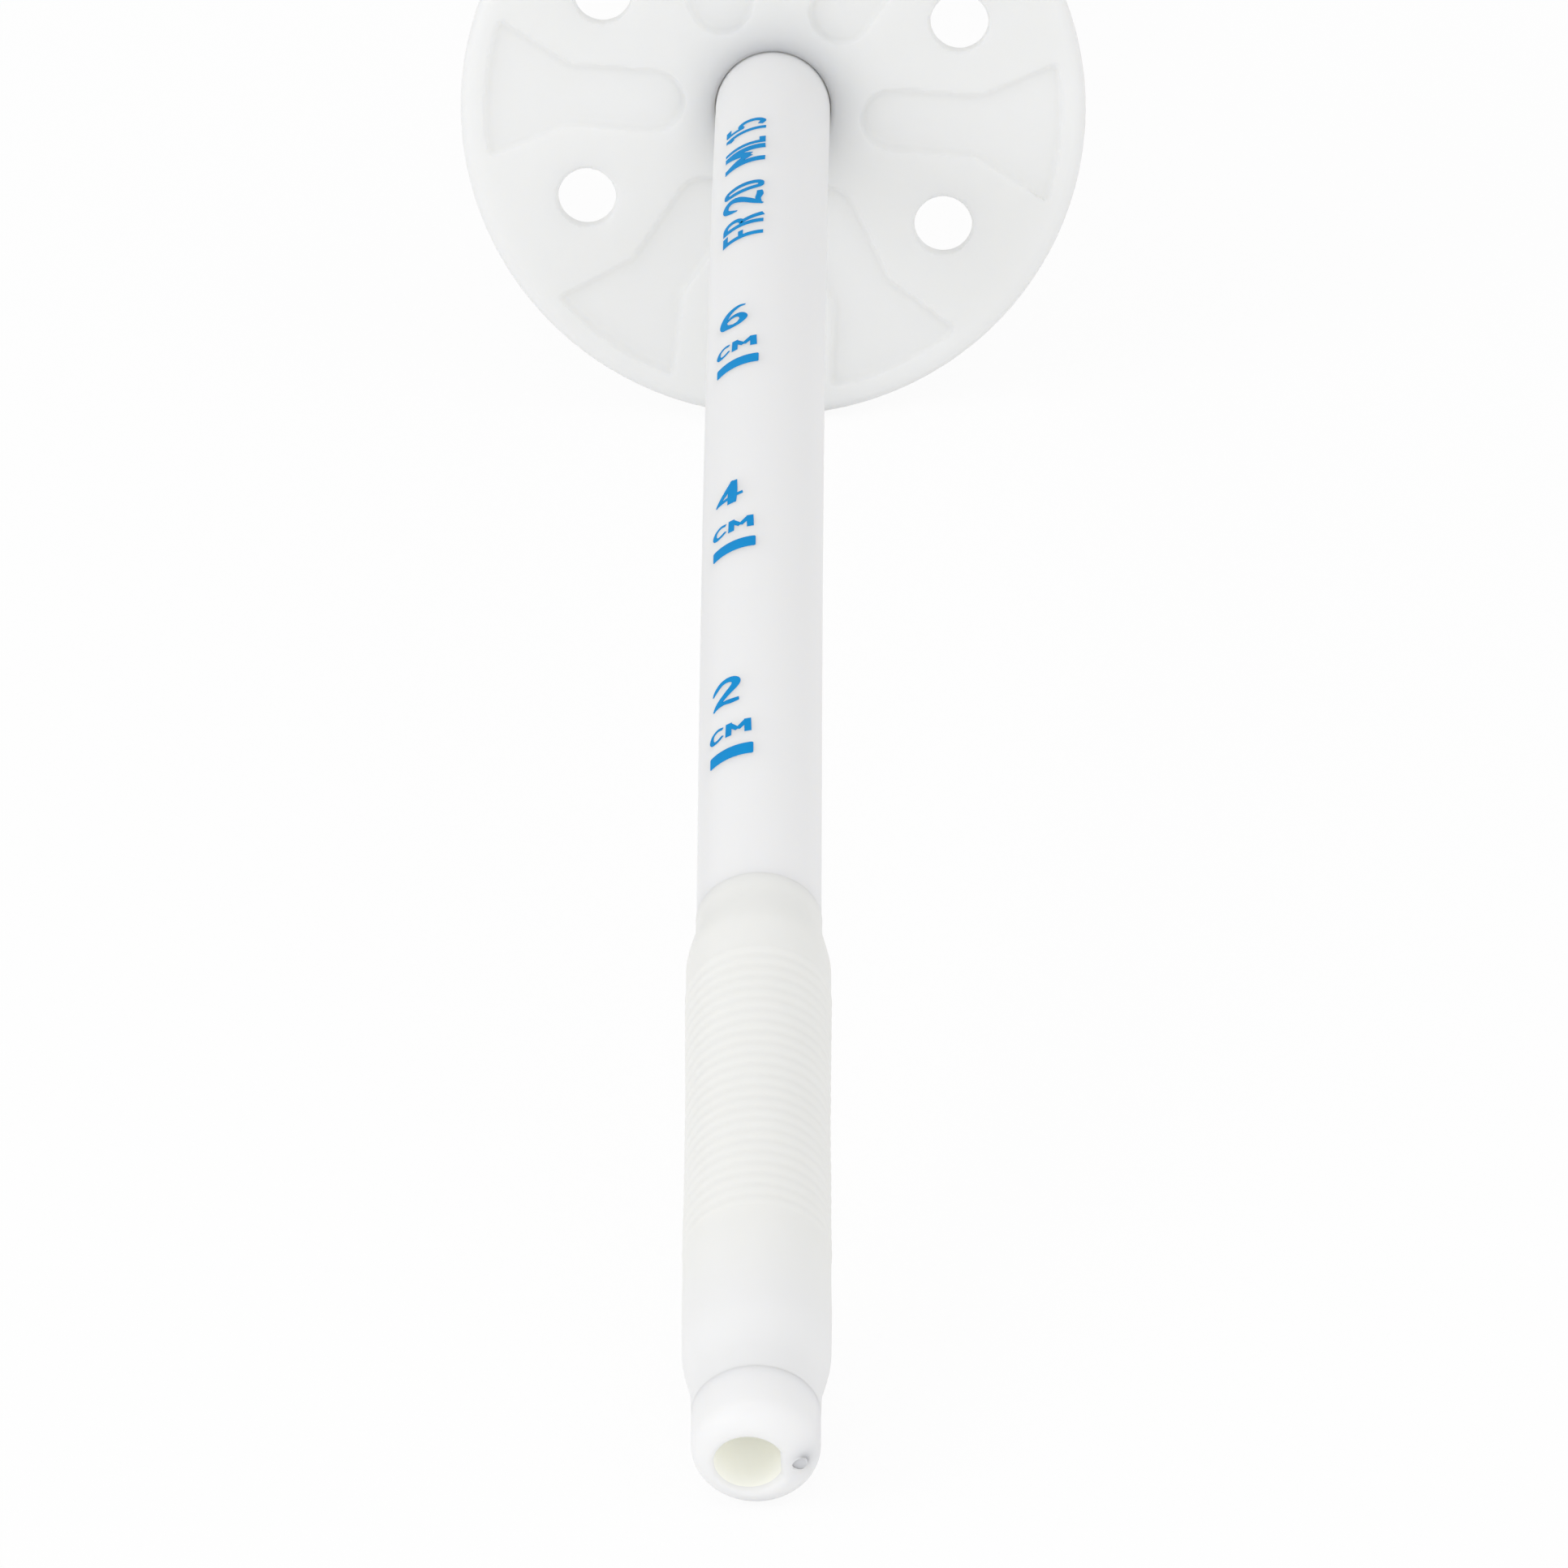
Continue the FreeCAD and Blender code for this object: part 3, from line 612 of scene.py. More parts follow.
# Where things are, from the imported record

@dataclass
class Route:
    """The tube's centre line: a straight run, a long arch, a tail bend and a seat in the head."""

    tip: Vector
    direction: Vector
    arch_centre: Vector
    feeding_mouth: Vector
    run: float = 44.0
    arch_radius: float = 300.0
    tail_radius: float = 80.0
    seat: float = 14.0
    feeding_length: float = 32.0
    hub_station: float = 18.0
    step: float = 1.0
    curve: Object = field(init=False)

    def __post_init__(self) -> None:
        """Work out the slopes, and draw the centre line as a curve."""
        self.tip_slope = math.atan2(self.direction.z, self.direction.y)
        lift = self.feeding_mouth.z + self.tail_radius * MM - self.arch_centre.z
        self.tail_slope = math.acos(lift / ((self.arch_radius + self.tail_radius) * MM))
        self.arch_end = self.run + self.arch_radius * (self.tip_slope + self.tail_slope)
        self.tail_end = self.arch_end + self.tail_radius * self.tail_slope
        self.length = self.tail_end + self.seat
        self.hub = self.feeding_mouth - Axis.Y.value * self.feeding_length * MM
        self.tail_point = self.hub - Axis.Y.value * self.hub_station * MM
        self.curve = self.draw()

    def slope(self, station: float) -> float:
        """Find the centre line's slope.

        Args:
            station: the distance from the tip along the centre line, in millimetres.

        Returns:
            The slope in radians, positive where the line rises away from the tip.
        """
        if station <= self.run:
            return self.tip_slope
        if station <= self.arch_end:
            return self.tip_slope - (station - self.run) / self.arch_radius
        if station <= self.tail_end:
            return (station - self.tail_end) / self.tail_radius
        return 0.0

    def point(self, station: float) -> Vector:
        """Find a point of the centre line.

        Args:
            station: the distance from the tip along the centre line, in millimetres.

        Returns:
            The point in metres.
        """
        slope = self.slope(station)
        outwards = Vector((0, -math.sin(slope), math.cos(slope)))
        if station <= self.run:
            return self.tip + self.direction * station * MM
        if station <= self.arch_end:
            return self.arch_centre + outwards * self.arch_radius * MM
        if station <= self.tail_end:
            return self.tail_point + (Axis.Z.value - outwards) * self.tail_radius * MM
        return self.tail_point + Axis.Y.value * (station - self.tail_end) * MM

    def frame(self, station: float, lean: float = 0) -> Matrix:
        """Make a place on the centre line with its Z towards the tip.

        Args:
            station: the distance from the tip along the centre line, in millimetres.
            lean: by how many degrees it leans back.

        Returns:
            The place as a matrix in metres.
        """
        angle = math.radians(lean) - self.slope(station)
        along = Vector((0, -math.cos(angle), math.sin(angle)))
        up = Vector((0, math.sin(angle), math.cos(angle)))
        return facing(self.point(station), along, up)

    def draw(self) -> Object:
        """Draw the centre line as a curve of short chords, for the curve modifier.

        Returns:
            The curve object.
        """
        stations = [0.0]
        while stations[-1] + self.step < self.length:
            stations.append(stations[-1] + self.step)
        stations.append(self.length)
        data = bpy.data.curves.new("route", "CURVE")
        data.dimensions = "3D"
        data.twist_mode = "Z_UP"
        spline = data.splines.new("POLY")
        spline.points.add(len(stations) - 1)
        for point, station in zip(spline.points, stations):
            point.co = (*self.point(station), 1)
        curve = bpy.data.objects.new("route", data)
        bpy.context.scene.collection.objects.link(curve)
        return curve

    def lay(self, piece: Object) -> Object:
        """Keep a bench piece's straight coordinates for its finish, and lay it along the route.

        Args:
            piece: the straight piece.

        Returns:
            The same piece.
        """
        places = piece.data.attributes.new("bench", "FLOAT_VECTOR", "POINT")
        for vertex, place in zip(piece.data.vertices, places.data):
            place.vector = vertex.co
        return modified(piece, "CURVE", object=self.curve, deform_axis="POS_Z")


@dataclass
class Places:
    """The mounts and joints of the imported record."""

    record: dict

    def mount(self, name: str) -> tuple[Vector, Vector]:
        """A mount's point and axis in the row's frame."""
        found = next(mount for mount in self.record["mounts"] if mount["name"] == name)
        return Vector(found["pos_m"]), Vector(found["axis"]).normalized()

    def pivot(self, name: str) -> Vector:
        """A hinge's centre in the row's frame."""
        found = next(joint for joint in frame["joints"] if joint["name"] == name)
        return Vector(found["pos_m"])

    def route(self) -> Route:
        """Lead the tube's route through the recorded points.

        Returns:
            The route.
        """
        tip, out = self.mount("tip_outlet")
        mouth, _ = self.mount("feeding_port")
        return Route(tip, -out, self.pivot("disc_travel"), mouth)

    def arm(self, name: str, length: float) -> Matrix:
        """The frame of one of the head's arms, with Z out of its mouth, from the hub at its start."""
        mouth, along = self.mount(name)
        return facing(mouth - along * length * MM, along, Axis.Z.value)


# The tube and what is on it

@dataclass
class Shaft:
    """Extruded two-lumen tube with a rounded, open tip."""

    route: Route
    radius: float = 3.335
    tip_rounding: float = 1.6
    lip_start_radius: float = 2.75
    lumen_radius: float = 1.8
    lumen_offset: float = 0.36
    lumen_flat: float = -1.27
    lip_depth: float = 0.4
    plug_offset: float = -2.25
    plug_radius: float = 0.4
    plug_depth: float = 3.0
    pocket_gap: float = 0.005
    ring_gap: float = 2.0
    segments: int = 96

    def wall_stations(self, first: float) -> list[float]:
        """List the stations of the rings along a wall.

        Args:
            first: the station of the first ring.

        Returns:
            Even stations, as far as the tube's end.
        """
        count = round((self.route.length - first) / self.ring_gap)
        gap = (self.route.length - first) / count
        return [first + gap * index for index in range(count + 1)]

    def skin(self) -> Object:
        """Spin the outside, from the edge of the opening to the far end.

        Returns:
            The skin, open at both ends.
        """
        centre = (self.radius - self.tip_rounding, self.tip_rounding)
        start = -math.degrees(math.acos((self.lip_start_radius - centre[0]) / self.tip_rounding))
        outline = arc(centre, self.tip_rounding, start, 0, 10)
        outline += [(self.radius, station) for station in self.wall_stations(self.tip_rounding)[1:]]
        return turned("shaft_skin", outline, self.segments, closed=False)

    def lumen(self) -> Object:
        """Spin the feeding lumen's wall, and press its flat on the sealed lumen's side.

        Returns:
            The wall, open at both ends.
        """
        outline = [(self.lumen_radius, station) for station in self.wall_stations(self.lip_depth)]
        wall = turned("lumen_wall", outline, self.segments, closed=False)
        placed(wall, Matrix.Translation((self.lumen_offset * MM, 0, 0)))
        pick(wall, lambda place: place.x < self.lumen_flat)
        bpy.ops.transform.resize(value=(0, 1, 1), center_override=(self.lumen_flat * MM, 0, 0))
        clear()
        return wall

    def bridged(self, tube: Object, station: float, reach: float, cuts: int) -> None:
        """Join the open rims of the skin and the lumen at one end, with a rounded lip between.

        Args:
            tube: the skin and the lumen's wall as one object.
            station: where the rims are.
            reach: how far from there a rim may lie.
            cuts: the number of rings on the lip.
        """
        edit(tube)
        bpy.ops.mesh.select_all(action="DESELECT")
        bpy.ops.mesh.select_non_manifold()
        bpy.ops.object.mode_set(mode="OBJECT")
        points = tube.data.vertices
        for vertex in points:
            vertex.select = vertex.select and abs(vertex.co.z / MM - station) < reach
        for edge in tube.data.edges:
            edge.select = edge.select and all(points[end].select for end in edge.vertices)
        bpy.ops.object.mode_set(mode="EDIT")
        bpy.ops.mesh.bridge_edge_loops(number_cuts=cuts, interpolation="SURFACE", smoothness=0.9)
        clear()

    def build(self) -> Object:
        """Model the tube straight, with its lip and the pocket of the sealed lumen, and lay it.

        Returns:
            The dressed tube.
        """
        tube = take(self.skin(), self.lumen())
        bpy.ops.object.join()
        tube = named("shaft_tube")
        self.bridged(tube, 0, reach=2 * self.lip_depth, cuts=6)
        self.bridged(tube, self.route.length, reach=1, cuts=0)
        close_up(tube)
        pocket = rod("pocket", self.plug_radius + self.pocket_gap, -1, self.plug_depth, segments=32)
        placed(pocket, Matrix.Translation((self.plug_offset * MM, 0, 0)))
        combined(tube, pocket, Sweep.TAKE)
        dress(tube, SHAFT_SILICONE, LUMEN_SILICONE)
        centre = Vector((self.lumen_offset, 0))
        for face in tube.data.polygons:
            inside = (face.center.xy / MM - centre).length < self.lumen_radius + 0.05
            face.material_index = int(inside and face.center.z / MM > self.lip_depth)
        self.route.lay(tube)
        smooth(tube, 60)
        hand_over(tube, "tube", "shaft_silicone", "shaft")
        return tube


@dataclass
class LumenSeal:
    """The silicone bead that closes the inflation lumen at the tip."""

    route: Route
    shaft: Shaft
    dome: float = 0.04
    end_gap: float = 0.02

    def build(self) -> Object:
        """Model a short rod with a domed end, a little below the tip's rounding, and lay it.

        Returns:
            The dressed bead.
        """
        shaft = self.shaft
        reach = -shaft.plug_offset - (shaft.radius - shaft.tip_rounding)
        start = shaft.tip_rounding - math.sqrt(shaft.tip_rounding ** 2 - reach ** 2)
        radius = shaft.plug_radius
        end = shaft.plug_depth - self.end_gap
        outline = [(0, end), (radius, end)]
        for turn in range(0, 91, 15):
            angle = math.radians(turn)
            outline.append((radius * math.cos(angle), start + self.dome * (1 - math.sin(angle))))
        bead = turned("lumen_bead", outline, segments=32)
        placed(bead, Matrix.Translation((shaft.plug_offset * MM, 0, 0)))
        dress(bead, SHAFT_SILICONE)
        self.route.lay(bead)
        smooth(bead)
        hand_over(bead, "tube", "shaft_silicone", "lumen_plug")
        return bead


@dataclass
class Balloon:
    """Deflated ribbed sleeve, bonded round the tube at both ends, a little slack and uneven."""

    route: Route
    start: float = 4.0
    end: float = 43.4
    cuff_radius: float = 3.37
    cuff: float = 1.0
    cuff_step: float = 0.033
    cuff_slope: float = 0.8
    back_step: float = 0.03
    back_slope: float = 0.08
    full_radius: float = 3.87
    waist_radius: float = 3.78
    seat_radius: float = 3.06
    inside_radius: float = 3.36
    shoulder: float = 3.6
    ridges: int = 24
    ridge_pitch: float = 0.88
    ridge_height: float = 0.05
    ridge_gap: float = 1.8
    slack: float = 0.10
    slack_size: float = 5.0
    plain_steps: int = 16
    segments: int = 96

    def eased(self, start: tuple[float, float], end: tuple[float, float], steps: int = 12) -> Outline:
        """List points on a smooth S.

        Args:
            start: its first (radius, station) pair.
            end: its last pair.
            steps: the number of chords.

        Returns:
            The points, with both ends.
        """
        points = []
        for step in range(steps + 1):
            share = step / steps
            blend = (1 - math.cos(math.pi * share)) / 2
            points.append((start[0] + (end[0] - start[0]) * blend, start[1] + (end[1] - start[1]) * share))
        return points

    def ribbed(self, start: float) -> Outline:
        """Outline the ridged stretch, six points a ridge, drawn in a little at its middle.

        Args:
            start: the station of its first point.

        Returns:
            The points in (radius, station) pairs.
        """
        points = []
        for index in range(6 * self.ridges + 1):
            share = index / (6 * self.ridges)
            base = self.waist_radius + (self.full_radius - self.waist_radius) * abs(2 * share - 1) ** 2
            wave = (1 - math.cos(math.tau * index / 6)) / 2
            points.append((base + self.ridge_height * wave, start + index / 6 * self.ridge_pitch))
        return points

    def build(self) -> Object:
        """Spin the sleeve, loosen its surface and lay it. So thin a wall lets light by, so it has no shadow.

        Returns:
            The dressed sleeve.
        """
        distal = self.start + self.cuff
        proximal = self.end - self.cuff
        plain_start = distal + self.shoulder
        plain_end = proximal - self.shoulder
        ridges_start = plain_end - self.ridge_gap - self.ridges * self.ridge_pitch
        outline = [(self.seat_radius, self.start), (self.cuff_radius - self.cuff_step, self.start),
                   (self.cuff_radius, self.start + self.cuff_slope)]
        outline += self.eased((self.cuff_radius, distal), (self.full_radius, plain_start))
        outline += [(self.full_radius, plain_start + (ridges_start - plain_start) * step / self.plain_steps)
                    for step in range(1, self.plain_steps)]
        outline += self.ribbed(ridges_start)
        outline += self.eased((self.full_radius, plain_end), (self.cuff_radius, proximal))
        outline += [(self.cuff_radius, self.end - self.back_slope),
                    (self.cuff_radius - self.back_step, self.end), (self.seat_radius, self.end)]
        outline += self.eased((self.seat_radius, proximal), (self.inside_radius, plain_end), steps=4)
        outline += self.eased((self.inside_radius, plain_start), (self.seat_radius, distal), steps=4)
        sleeve = turned("balloon_sleeve", outline, self.segments)
        self.slacken(sleeve, distal, proximal)
        dress(sleeve, BALLOON_SILICONE)
        self.route.lay(sleeve)
        smooth(sleeve, 60)
        sleeve.visible_shadow = False
        hand_over(sleeve, "tube", "balloon_silicone", "balloon")
        return sleeve

    def slacken(self, sleeve: Object, distal: float, proximal: float) -> None:
        """Shift the loose part of the sleeve by soft clouds, and leave its cuffs alone.

        Args:
            sleeve: the straight sleeve.
            distal: the station where the cuff near the tip ends.
            proximal: the station where the other cuff starts.
        """
        loose = sleeve.vertex_groups.new(name="loose")
        for vertex in sleeve.data.vertices:
            station = vertex.co.z / MM
            share = min(station - distal, proximal - station) / self.shoulder
            if vertex.co.xy.length / MM > self.inside_radius + 0.01 and share > 0:
                loose.add([vertex.index], min(1, share), "REPLACE")
        clouds = bpy.data.textures.new("slack", "CLOUDS")
        clouds.noise_scale = self.slack_size * MM
        modified(sleeve, "DISPLACE", texture=clouds, texture_coords="LOCAL", strength=self.slack * MM,
                 mid_level=0.5, vertex_group="loose")


Stroke = list[tuple[float, float, float]]

# Letters as brush strokes: (x, y, width) points, in hundredths of the letter's height
LETTERS: dict[str, tuple[float, list[Stroke]]] = {
    "2": (72, [[(0, 62, 4), (8, 76, 12), (26, 92, 15), (48, 94, 18), (62, 82, 21), (58, 64, 21), (38, 42, 18),
                (16, 20, 16), (2, 2, 6)], [(6, 8, 8), (30, 13, 13), (52, 9, 16), (70, 10, 12)]]),
    "4": (76, [[(52, 98, 12), (32, 62, 16), (8, 30, 12), (0, 20, 5)],
               [(2, 24, 6), (28, 28, 12), (76, 35, 11)],
               [(52, 98, 18), (49, 50, 26), (47, 2, 24)]]),
    "6": (70, [[(68, 94, 5), (50, 95, 12), (26, 80, 18), (11, 52, 22), (14, 24, 21), (36, 9, 14)],
               [(30, 10, 14), (52, 12, 16), (64, 32, 20), (54, 52, 17), (34, 54, 12), (18, 42, 5)]]),
    "C": (66, [[(66, 86, 16), (42, 93, 18), (16, 74, 17), (9, 38, 22), (20, 11, 22), (44, 11, 18),
                (66, 30, 12)]]),
    "M": (104, [[(13, 0, 26), (15, 100, 26)], [(14, 90, 26), (52, 34, 22)], [(52, 34, 22), (90, 90, 26)],
                [(91, 100, 27), (93, 0, 27)]]),
    "F": (46, [[(8, 0, 16), (8, 100, 16)], [(2, 93, 14), (46, 93, 14)], [(4, 52, 12), (38, 52, 12)]]),
    "R": (48, [[(8, 0, 16), (8, 100, 16)],
               [(4, 93, 14), (30, 92, 14), (41, 80, 15), (40, 62, 15), (28, 51, 13), (4, 50, 12)],
               [(24, 52, 15), (42, 0, 16)]]),
    "0": (46, [[(26, 93, 13), (12, 88, 15), (8, 50, 16), (12, 12, 15), (26, 7, 13)],
               [(20, 93, 13), (34, 88, 15), (38, 50, 16), (34, 12, 15), (20, 7, 13)]]),
    "L": (38, [[(8, 0, 16), (8, 100, 16)], [(2, 7, 14), (38, 7, 14)]]),
    "1": (30, [[(20, 0, 16), (20, 100, 16)], [(2, 80, 12), (20, 96, 13)]]),
    "5": (46, [[(8, 93, 14), (42, 93, 14)], [(10, 98, 13), (8, 52, 13)],
               [(6, 55, 12), (26, 60, 14), (38, 48, 16), (38, 22, 16), (24, 7, 14), (4, 13, 12)]])}


@dataclass
class Print:
    """A pad-printed mark: brushed letters or a bar, flat on the bench before it goes round the tube."""

    film: float = 0.018
    sink: float = 0.03
    curve_steps: int = 5
    letter_gap: float = 12
    space: float = 20
    bar_rounding: float = 0.1

    def eased(self, line: Stroke) -> Stroke:
        """Draw a smooth line through a stroke's points.

        Args:
            line: the stroke's points.

        Returns:
            More points, on a curve through the given ones.
        """
        ends = [line[0]] + line + [line[-1]]
        points = []
        for before, start, end, after in zip(ends, ends[1:], ends[2:], ends[3:]):
            for step in range(self.curve_steps):
                t = step / self.curve_steps
                points.append(tuple(
                    0.5 * (2 * b + (c - a) * t + (2 * a - 5 * b + 4 * c - d) * t ** 2
                           + (3 * b - a - 3 * c + d) * t ** 3)
                    for a, b, c, d in zip(before, start, end, after)))
        return points + [line[-1]]

    def solid(self, outline: Outline) -> Object:
        """A flat outline with the film's thickness."""
        half = (self.film + self.sink) / 2
        return prism("mark", outline, -half, half)

    def brushed(self, line: Stroke, scale: float, shift: float) -> Object:
        """Model one brush stroke of a letter.

        Args:
            line: the stroke's points.
            scale: millimetres for one hundredth of the letter's height.
            shift: where the letter starts along the word, in millimetres.

        Returns:
            The stroke as a solid film.
        """
        points = self.eased(line) if len(line) > 2 else line
        left, right = [], []
        for index, (x, y, width) in enumerate(points):
            before = Vector(points[max(index - 1, 0)][:2])
            after = Vector(points[min(index + 1, len(points) - 1)][:2])
            side = (after - before).orthogonal().normalized() * width / 2
            left.append(((x + side.x) * scale + shift, (y + side.y) * scale))
            right.append(((x - side.x) * scale + shift, (y - side.y) * scale))
        return self.solid(left + right[::-1])

    def word(self, letters: str, length: float, height: float) -> Object:
        """Letters side by side, centred on the bench.

        Args:
            letters: what it says.
            length: its whole length in millimetres.
            height: its letters' height in millimetres.

        Returns:
            The word as one solid film.
        """
        widths = [LETTERS[letter][0] if letter != " " else self.space for letter in letters]
        total = sum(widths) + self.letter_gap * (len(letters) - 1)
        stretch = length / (total * height / 100)
        scale, shift, pieces = height / 100, 0.0, []
        for letter, width in zip(letters, widths):
            if letter != " ":
                strokes = [self.brushed(line, scale, shift) for line in LETTERS[letter][1]]
                for other in strokes[1:]:
                    combined(strokes[0], other, Sweep.ADD)
                pieces.append(strokes[0])
            shift += (width + self.letter_gap) * scale
        take(*pieces)
        bpy.ops.object.join()
        middle = Matrix.Translation((-shift / 2 * MM, -height / 2 * MM, 0))
        return placed(named("word"), Matrix.Diagonal((stretch, 1, 1, 1)) @ middle)

    def bar(self, width: float, height: float) -> Object:
        """Model a bar with softened corners.

        Args:
            width: its length along X in millimetres.
            height: its length along Y.

        Returns:
            The bar as a solid film.
        """
        corner = (width / 2 - self.bar_rounding, height / 2 - self.bar_rounding)
        quarter = arc(corner, self.bar_rounding, 0, 90, 3)
        upper = quarter + [(-x, y) for x, y in reversed(quarter)]
        return self.solid(upper + [(-x, -y) for x, y in upper])


@dataclass
class DepthMarks:
    """Pad-printed scale on the tube: plain numbers with their unit over a bar, and the tube's size."""

    route: Route
    ink: Print = field(default_factory=Print)
    tube_radius: float = 3.335
    centre_angle: float = -27.5
    mark_stations: tuple = (54.05, 73.3, 92.9)
    numbers: tuple = ("2", "4", "6")
    bar: tuple = (2.72, 0.95)
    unit_station: float = 2.05
    unit_size: tuple = (2.6, 1.1)
    number_station: float = 5.55
    number_angle: float = -30.0
    number_size: tuple = (1.75, 2.35)
    size_marks: tuple = (("FR 20", 108.3, 7.4), ("ML 15", 118.4, 6.4))
    size_height: float = 2.6
    size_base_angle: float = -2.5
    strip: float = 0.12

    def wrapped(self, mark: Object, angle: float, station: float, upright: bool) -> Object:
        """Cut a flat mark into strips, wrap it round the tube and slide it to its station.

        Args:
            mark: the flat mark, which reads along X.
            angle: where its middle goes, in degrees from the top, positive to the right.
            station: where its middle goes along the tube.
            upright: whether it reads round the tube, and not along it.

        Returns:
            The mark on the straight bench tube.
        """
        if not upright:
            placed(mark, Matrix.Rotation(math.radians(90), 4, "Z"))
        edit(mark)
        reach = max(abs(vertex.co.x) for vertex in mark.data.vertices) / MM
        for index in range(1, math.ceil(2 * reach / self.strip)):
            bpy.ops.mesh.select_all(action="SELECT")
            bpy.ops.mesh.bisect(plane_co=((-reach + index * self.strip) * MM, 0, 0), plane_no=(1, 0, 0))
        clear()
        radius = self.tube_radius + (self.ink.film - self.ink.sink) / 2
        for vertex in mark.data.vertices:
            turn = vertex.co.x / (radius * MM) + math.radians(angle)
            out = radius * MM + vertex.co.z
            vertex.co = (-out * math.sin(turn), out * math.cos(turn), station * MM + vertex.co.y)
        return mark

    def build(self) -> Object:
        """Print every mark, and lay them all along the route as one film of ink.

        Returns:
            The dressed film.
        """
        marks = []
        for number, station in zip(self.numbers, self.mark_stations):
            marks.append(self.wrapped(self.ink.bar(*self.bar), self.centre_angle, station, True))
            unit = self.ink.word("CM", *self.unit_size)
            marks.append(self.wrapped(unit, self.centre_angle, station + self.unit_station, True))
            figure = self.ink.word(number, *self.number_size)
            marks.append(self.wrapped(figure, self.number_angle, station + self.number_station, True))
        half_height = math.degrees(self.size_height / 2 / self.tube_radius)
        for words, station, length in self.size_marks:
            text = self.ink.word(words, length, self.size_height)
            marks.append(self.wrapped(text, self.size_base_angle - half_height, station + length / 2, False))
        take(*marks)
        bpy.ops.object.join()
        film = close_up(named("depth_marks"))
        dress(film, PRINT_INK)
        self.route.lay(film)
        smooth(film)
        hand_over(film, "tube", "print_ink")
        return film


@dataclass
class RetentionDisc:
    """Pressed silicone disc with six holes and six shallow paddles, and a collar that grips the tube."""

    route: Route
    station: float = 134.4
    lean: float = 9.3
    radius: float = 18.25
    thickness: float = 1.6
    edge: float = 0.7
    gap: float = 0.06
    tube_radius: float = 3.335
    features: int = 6
    clock: float = -6.0
    hole_circle: float = 12.05
    hole_radius: float = 1.7
    paddle_depth: float = 0.4
    paddle_start: float = 7.0
    paddle_half_width: float = 1.8
    paddle_neck: float = 12.0
    rim: float = 1.45
    flare: float = 14.0
    funnel_radius: float = 3.6
    funnel_depth: float = 0.2
    collar_radius: float = 6.0
    collar_end_radius: float = 5.4
    collar_length: float = 8.5
    collar_rounding: float = 0.8
    segments: int = 180
    margin: float = 3.0
    grain: float = 0.18
    smoothing: int = 3

    def plate(self) -> Object:
        """Spin the round plate with its rounded rim, its skin face at height zero.

        Returns:
            The plate.
        """
        flat = self.radius - self.edge
        outline = [(0, 0)] + arc((flat, -self.edge), self.edge, 90, 0, 6)
        outline += arc((flat, self.edge - self.thickness), self.edge, 0, -90, 6) + [(0, -self.thickness)]
        return turned("disc_plate", outline, self.segments)

    def paddle(self) -> Object:
        """Model a recess's cutter: a round end, a straight neck and a flare out to the rim.

        Returns:
            The cutter.
        """
        reach = self.radius - self.rim
        half = self.paddle_half_width
        outline = arc((self.paddle_start, 0), half, 270, 90, 20)
        outline += [(self.paddle_neck, half)] + arc((0, 0), reach, self.flare, -self.flare, 16)
        outline += [(self.paddle_neck, -half)]
        return prism("paddle", outline, -self.paddle_depth, self.margin)

    def grip(self) -> Matrix:
        """The collar's middle, square to the tube."""
        return self.route.frame(self.station + self.collar_length / 2)

    def collar(self) -> Object:
        """Model the tapered collar behind the plate, as far as the middle of the plate's thickness.

        Returns:
            The collar, on the plate's bench.
        """
        half = self.collar_length / 2
        corner = (self.collar_end_radius - self.collar_rounding, self.collar_rounding - half)
        outline = [(0, half), (self.collar_radius, half)]
        outline += arc(corner, self.collar_rounding, 0, -90, 6) + [(0, -half)]
        on_plate = self.route.frame(self.station, self.lean).inverted() @ self.grip()
        collar = placed(turned("disc_collar", outline, segments=96), on_plate)
        in_front = rod("in_front", 2 * self.collar_radius, -self.thickness / 2, self.collar_length)
        return combined(collar, in_front, Sweep.TAKE)

    def funnel(self) -> Object:
        """Model the cutter for the bore's widened mouth, square to the plate.

        Returns:
            The cutter.
        """
        bore = self.tube_radius + self.gap
        high = self.funnel_radius + (self.funnel_radius - bore) / self.funnel_depth * self.margin
        low = 2 * bore - self.funnel_radius
        return rod("funnel", low, -2 * self.funnel_depth, self.margin, segments=96, tip=high)

    def build(self) -> Object:
        """Press the disc in one piece on the bench, lay it on the tube and bore it.

        Returns:
            The dressed disc.
        """
        plate = self.plate()
        spacing = 360 / self.features
        paddle = self.paddle()
        hole = rod("hole", self.hole_radius, -self.thickness - self.margin, self.margin, segments=48)
        placed(hole, Matrix.Translation((self.hole_circle * MM, 0, 0)))
        for index in range(self.features):
            combined(plate, copied(paddle, self.clock + spacing * index), Sweep.TAKE)
            combined(plate, copied(hole, self.clock + spacing * (index + 0.5)), Sweep.TAKE)
        for cutter in (paddle, hole):
            bpy.data.objects.remove(cutter)
        combined(plate, self.collar(), Sweep.ADD)
        combined(plate, self.funnel(), Sweep.TAKE)
        disc = moulded("retention_plate", [plate], self.grain, self.smoothing)
        placed(disc, self.route.frame(self.station, self.lean))
        reach = self.collar_length / 2 + self.margin
        bore = rod("bore", self.tube_radius + self.gap, -reach, reach, segments=96)
        combined(disc, placed(bore, self.grip()), Sweep.TAKE)
        dress(disc, DISC_SILICONE)
        smooth(disc, 50)
        hand_over(disc, "disc", "disc_silicone", "retention_disc")
        return disc


# The head, its plugs and its valve

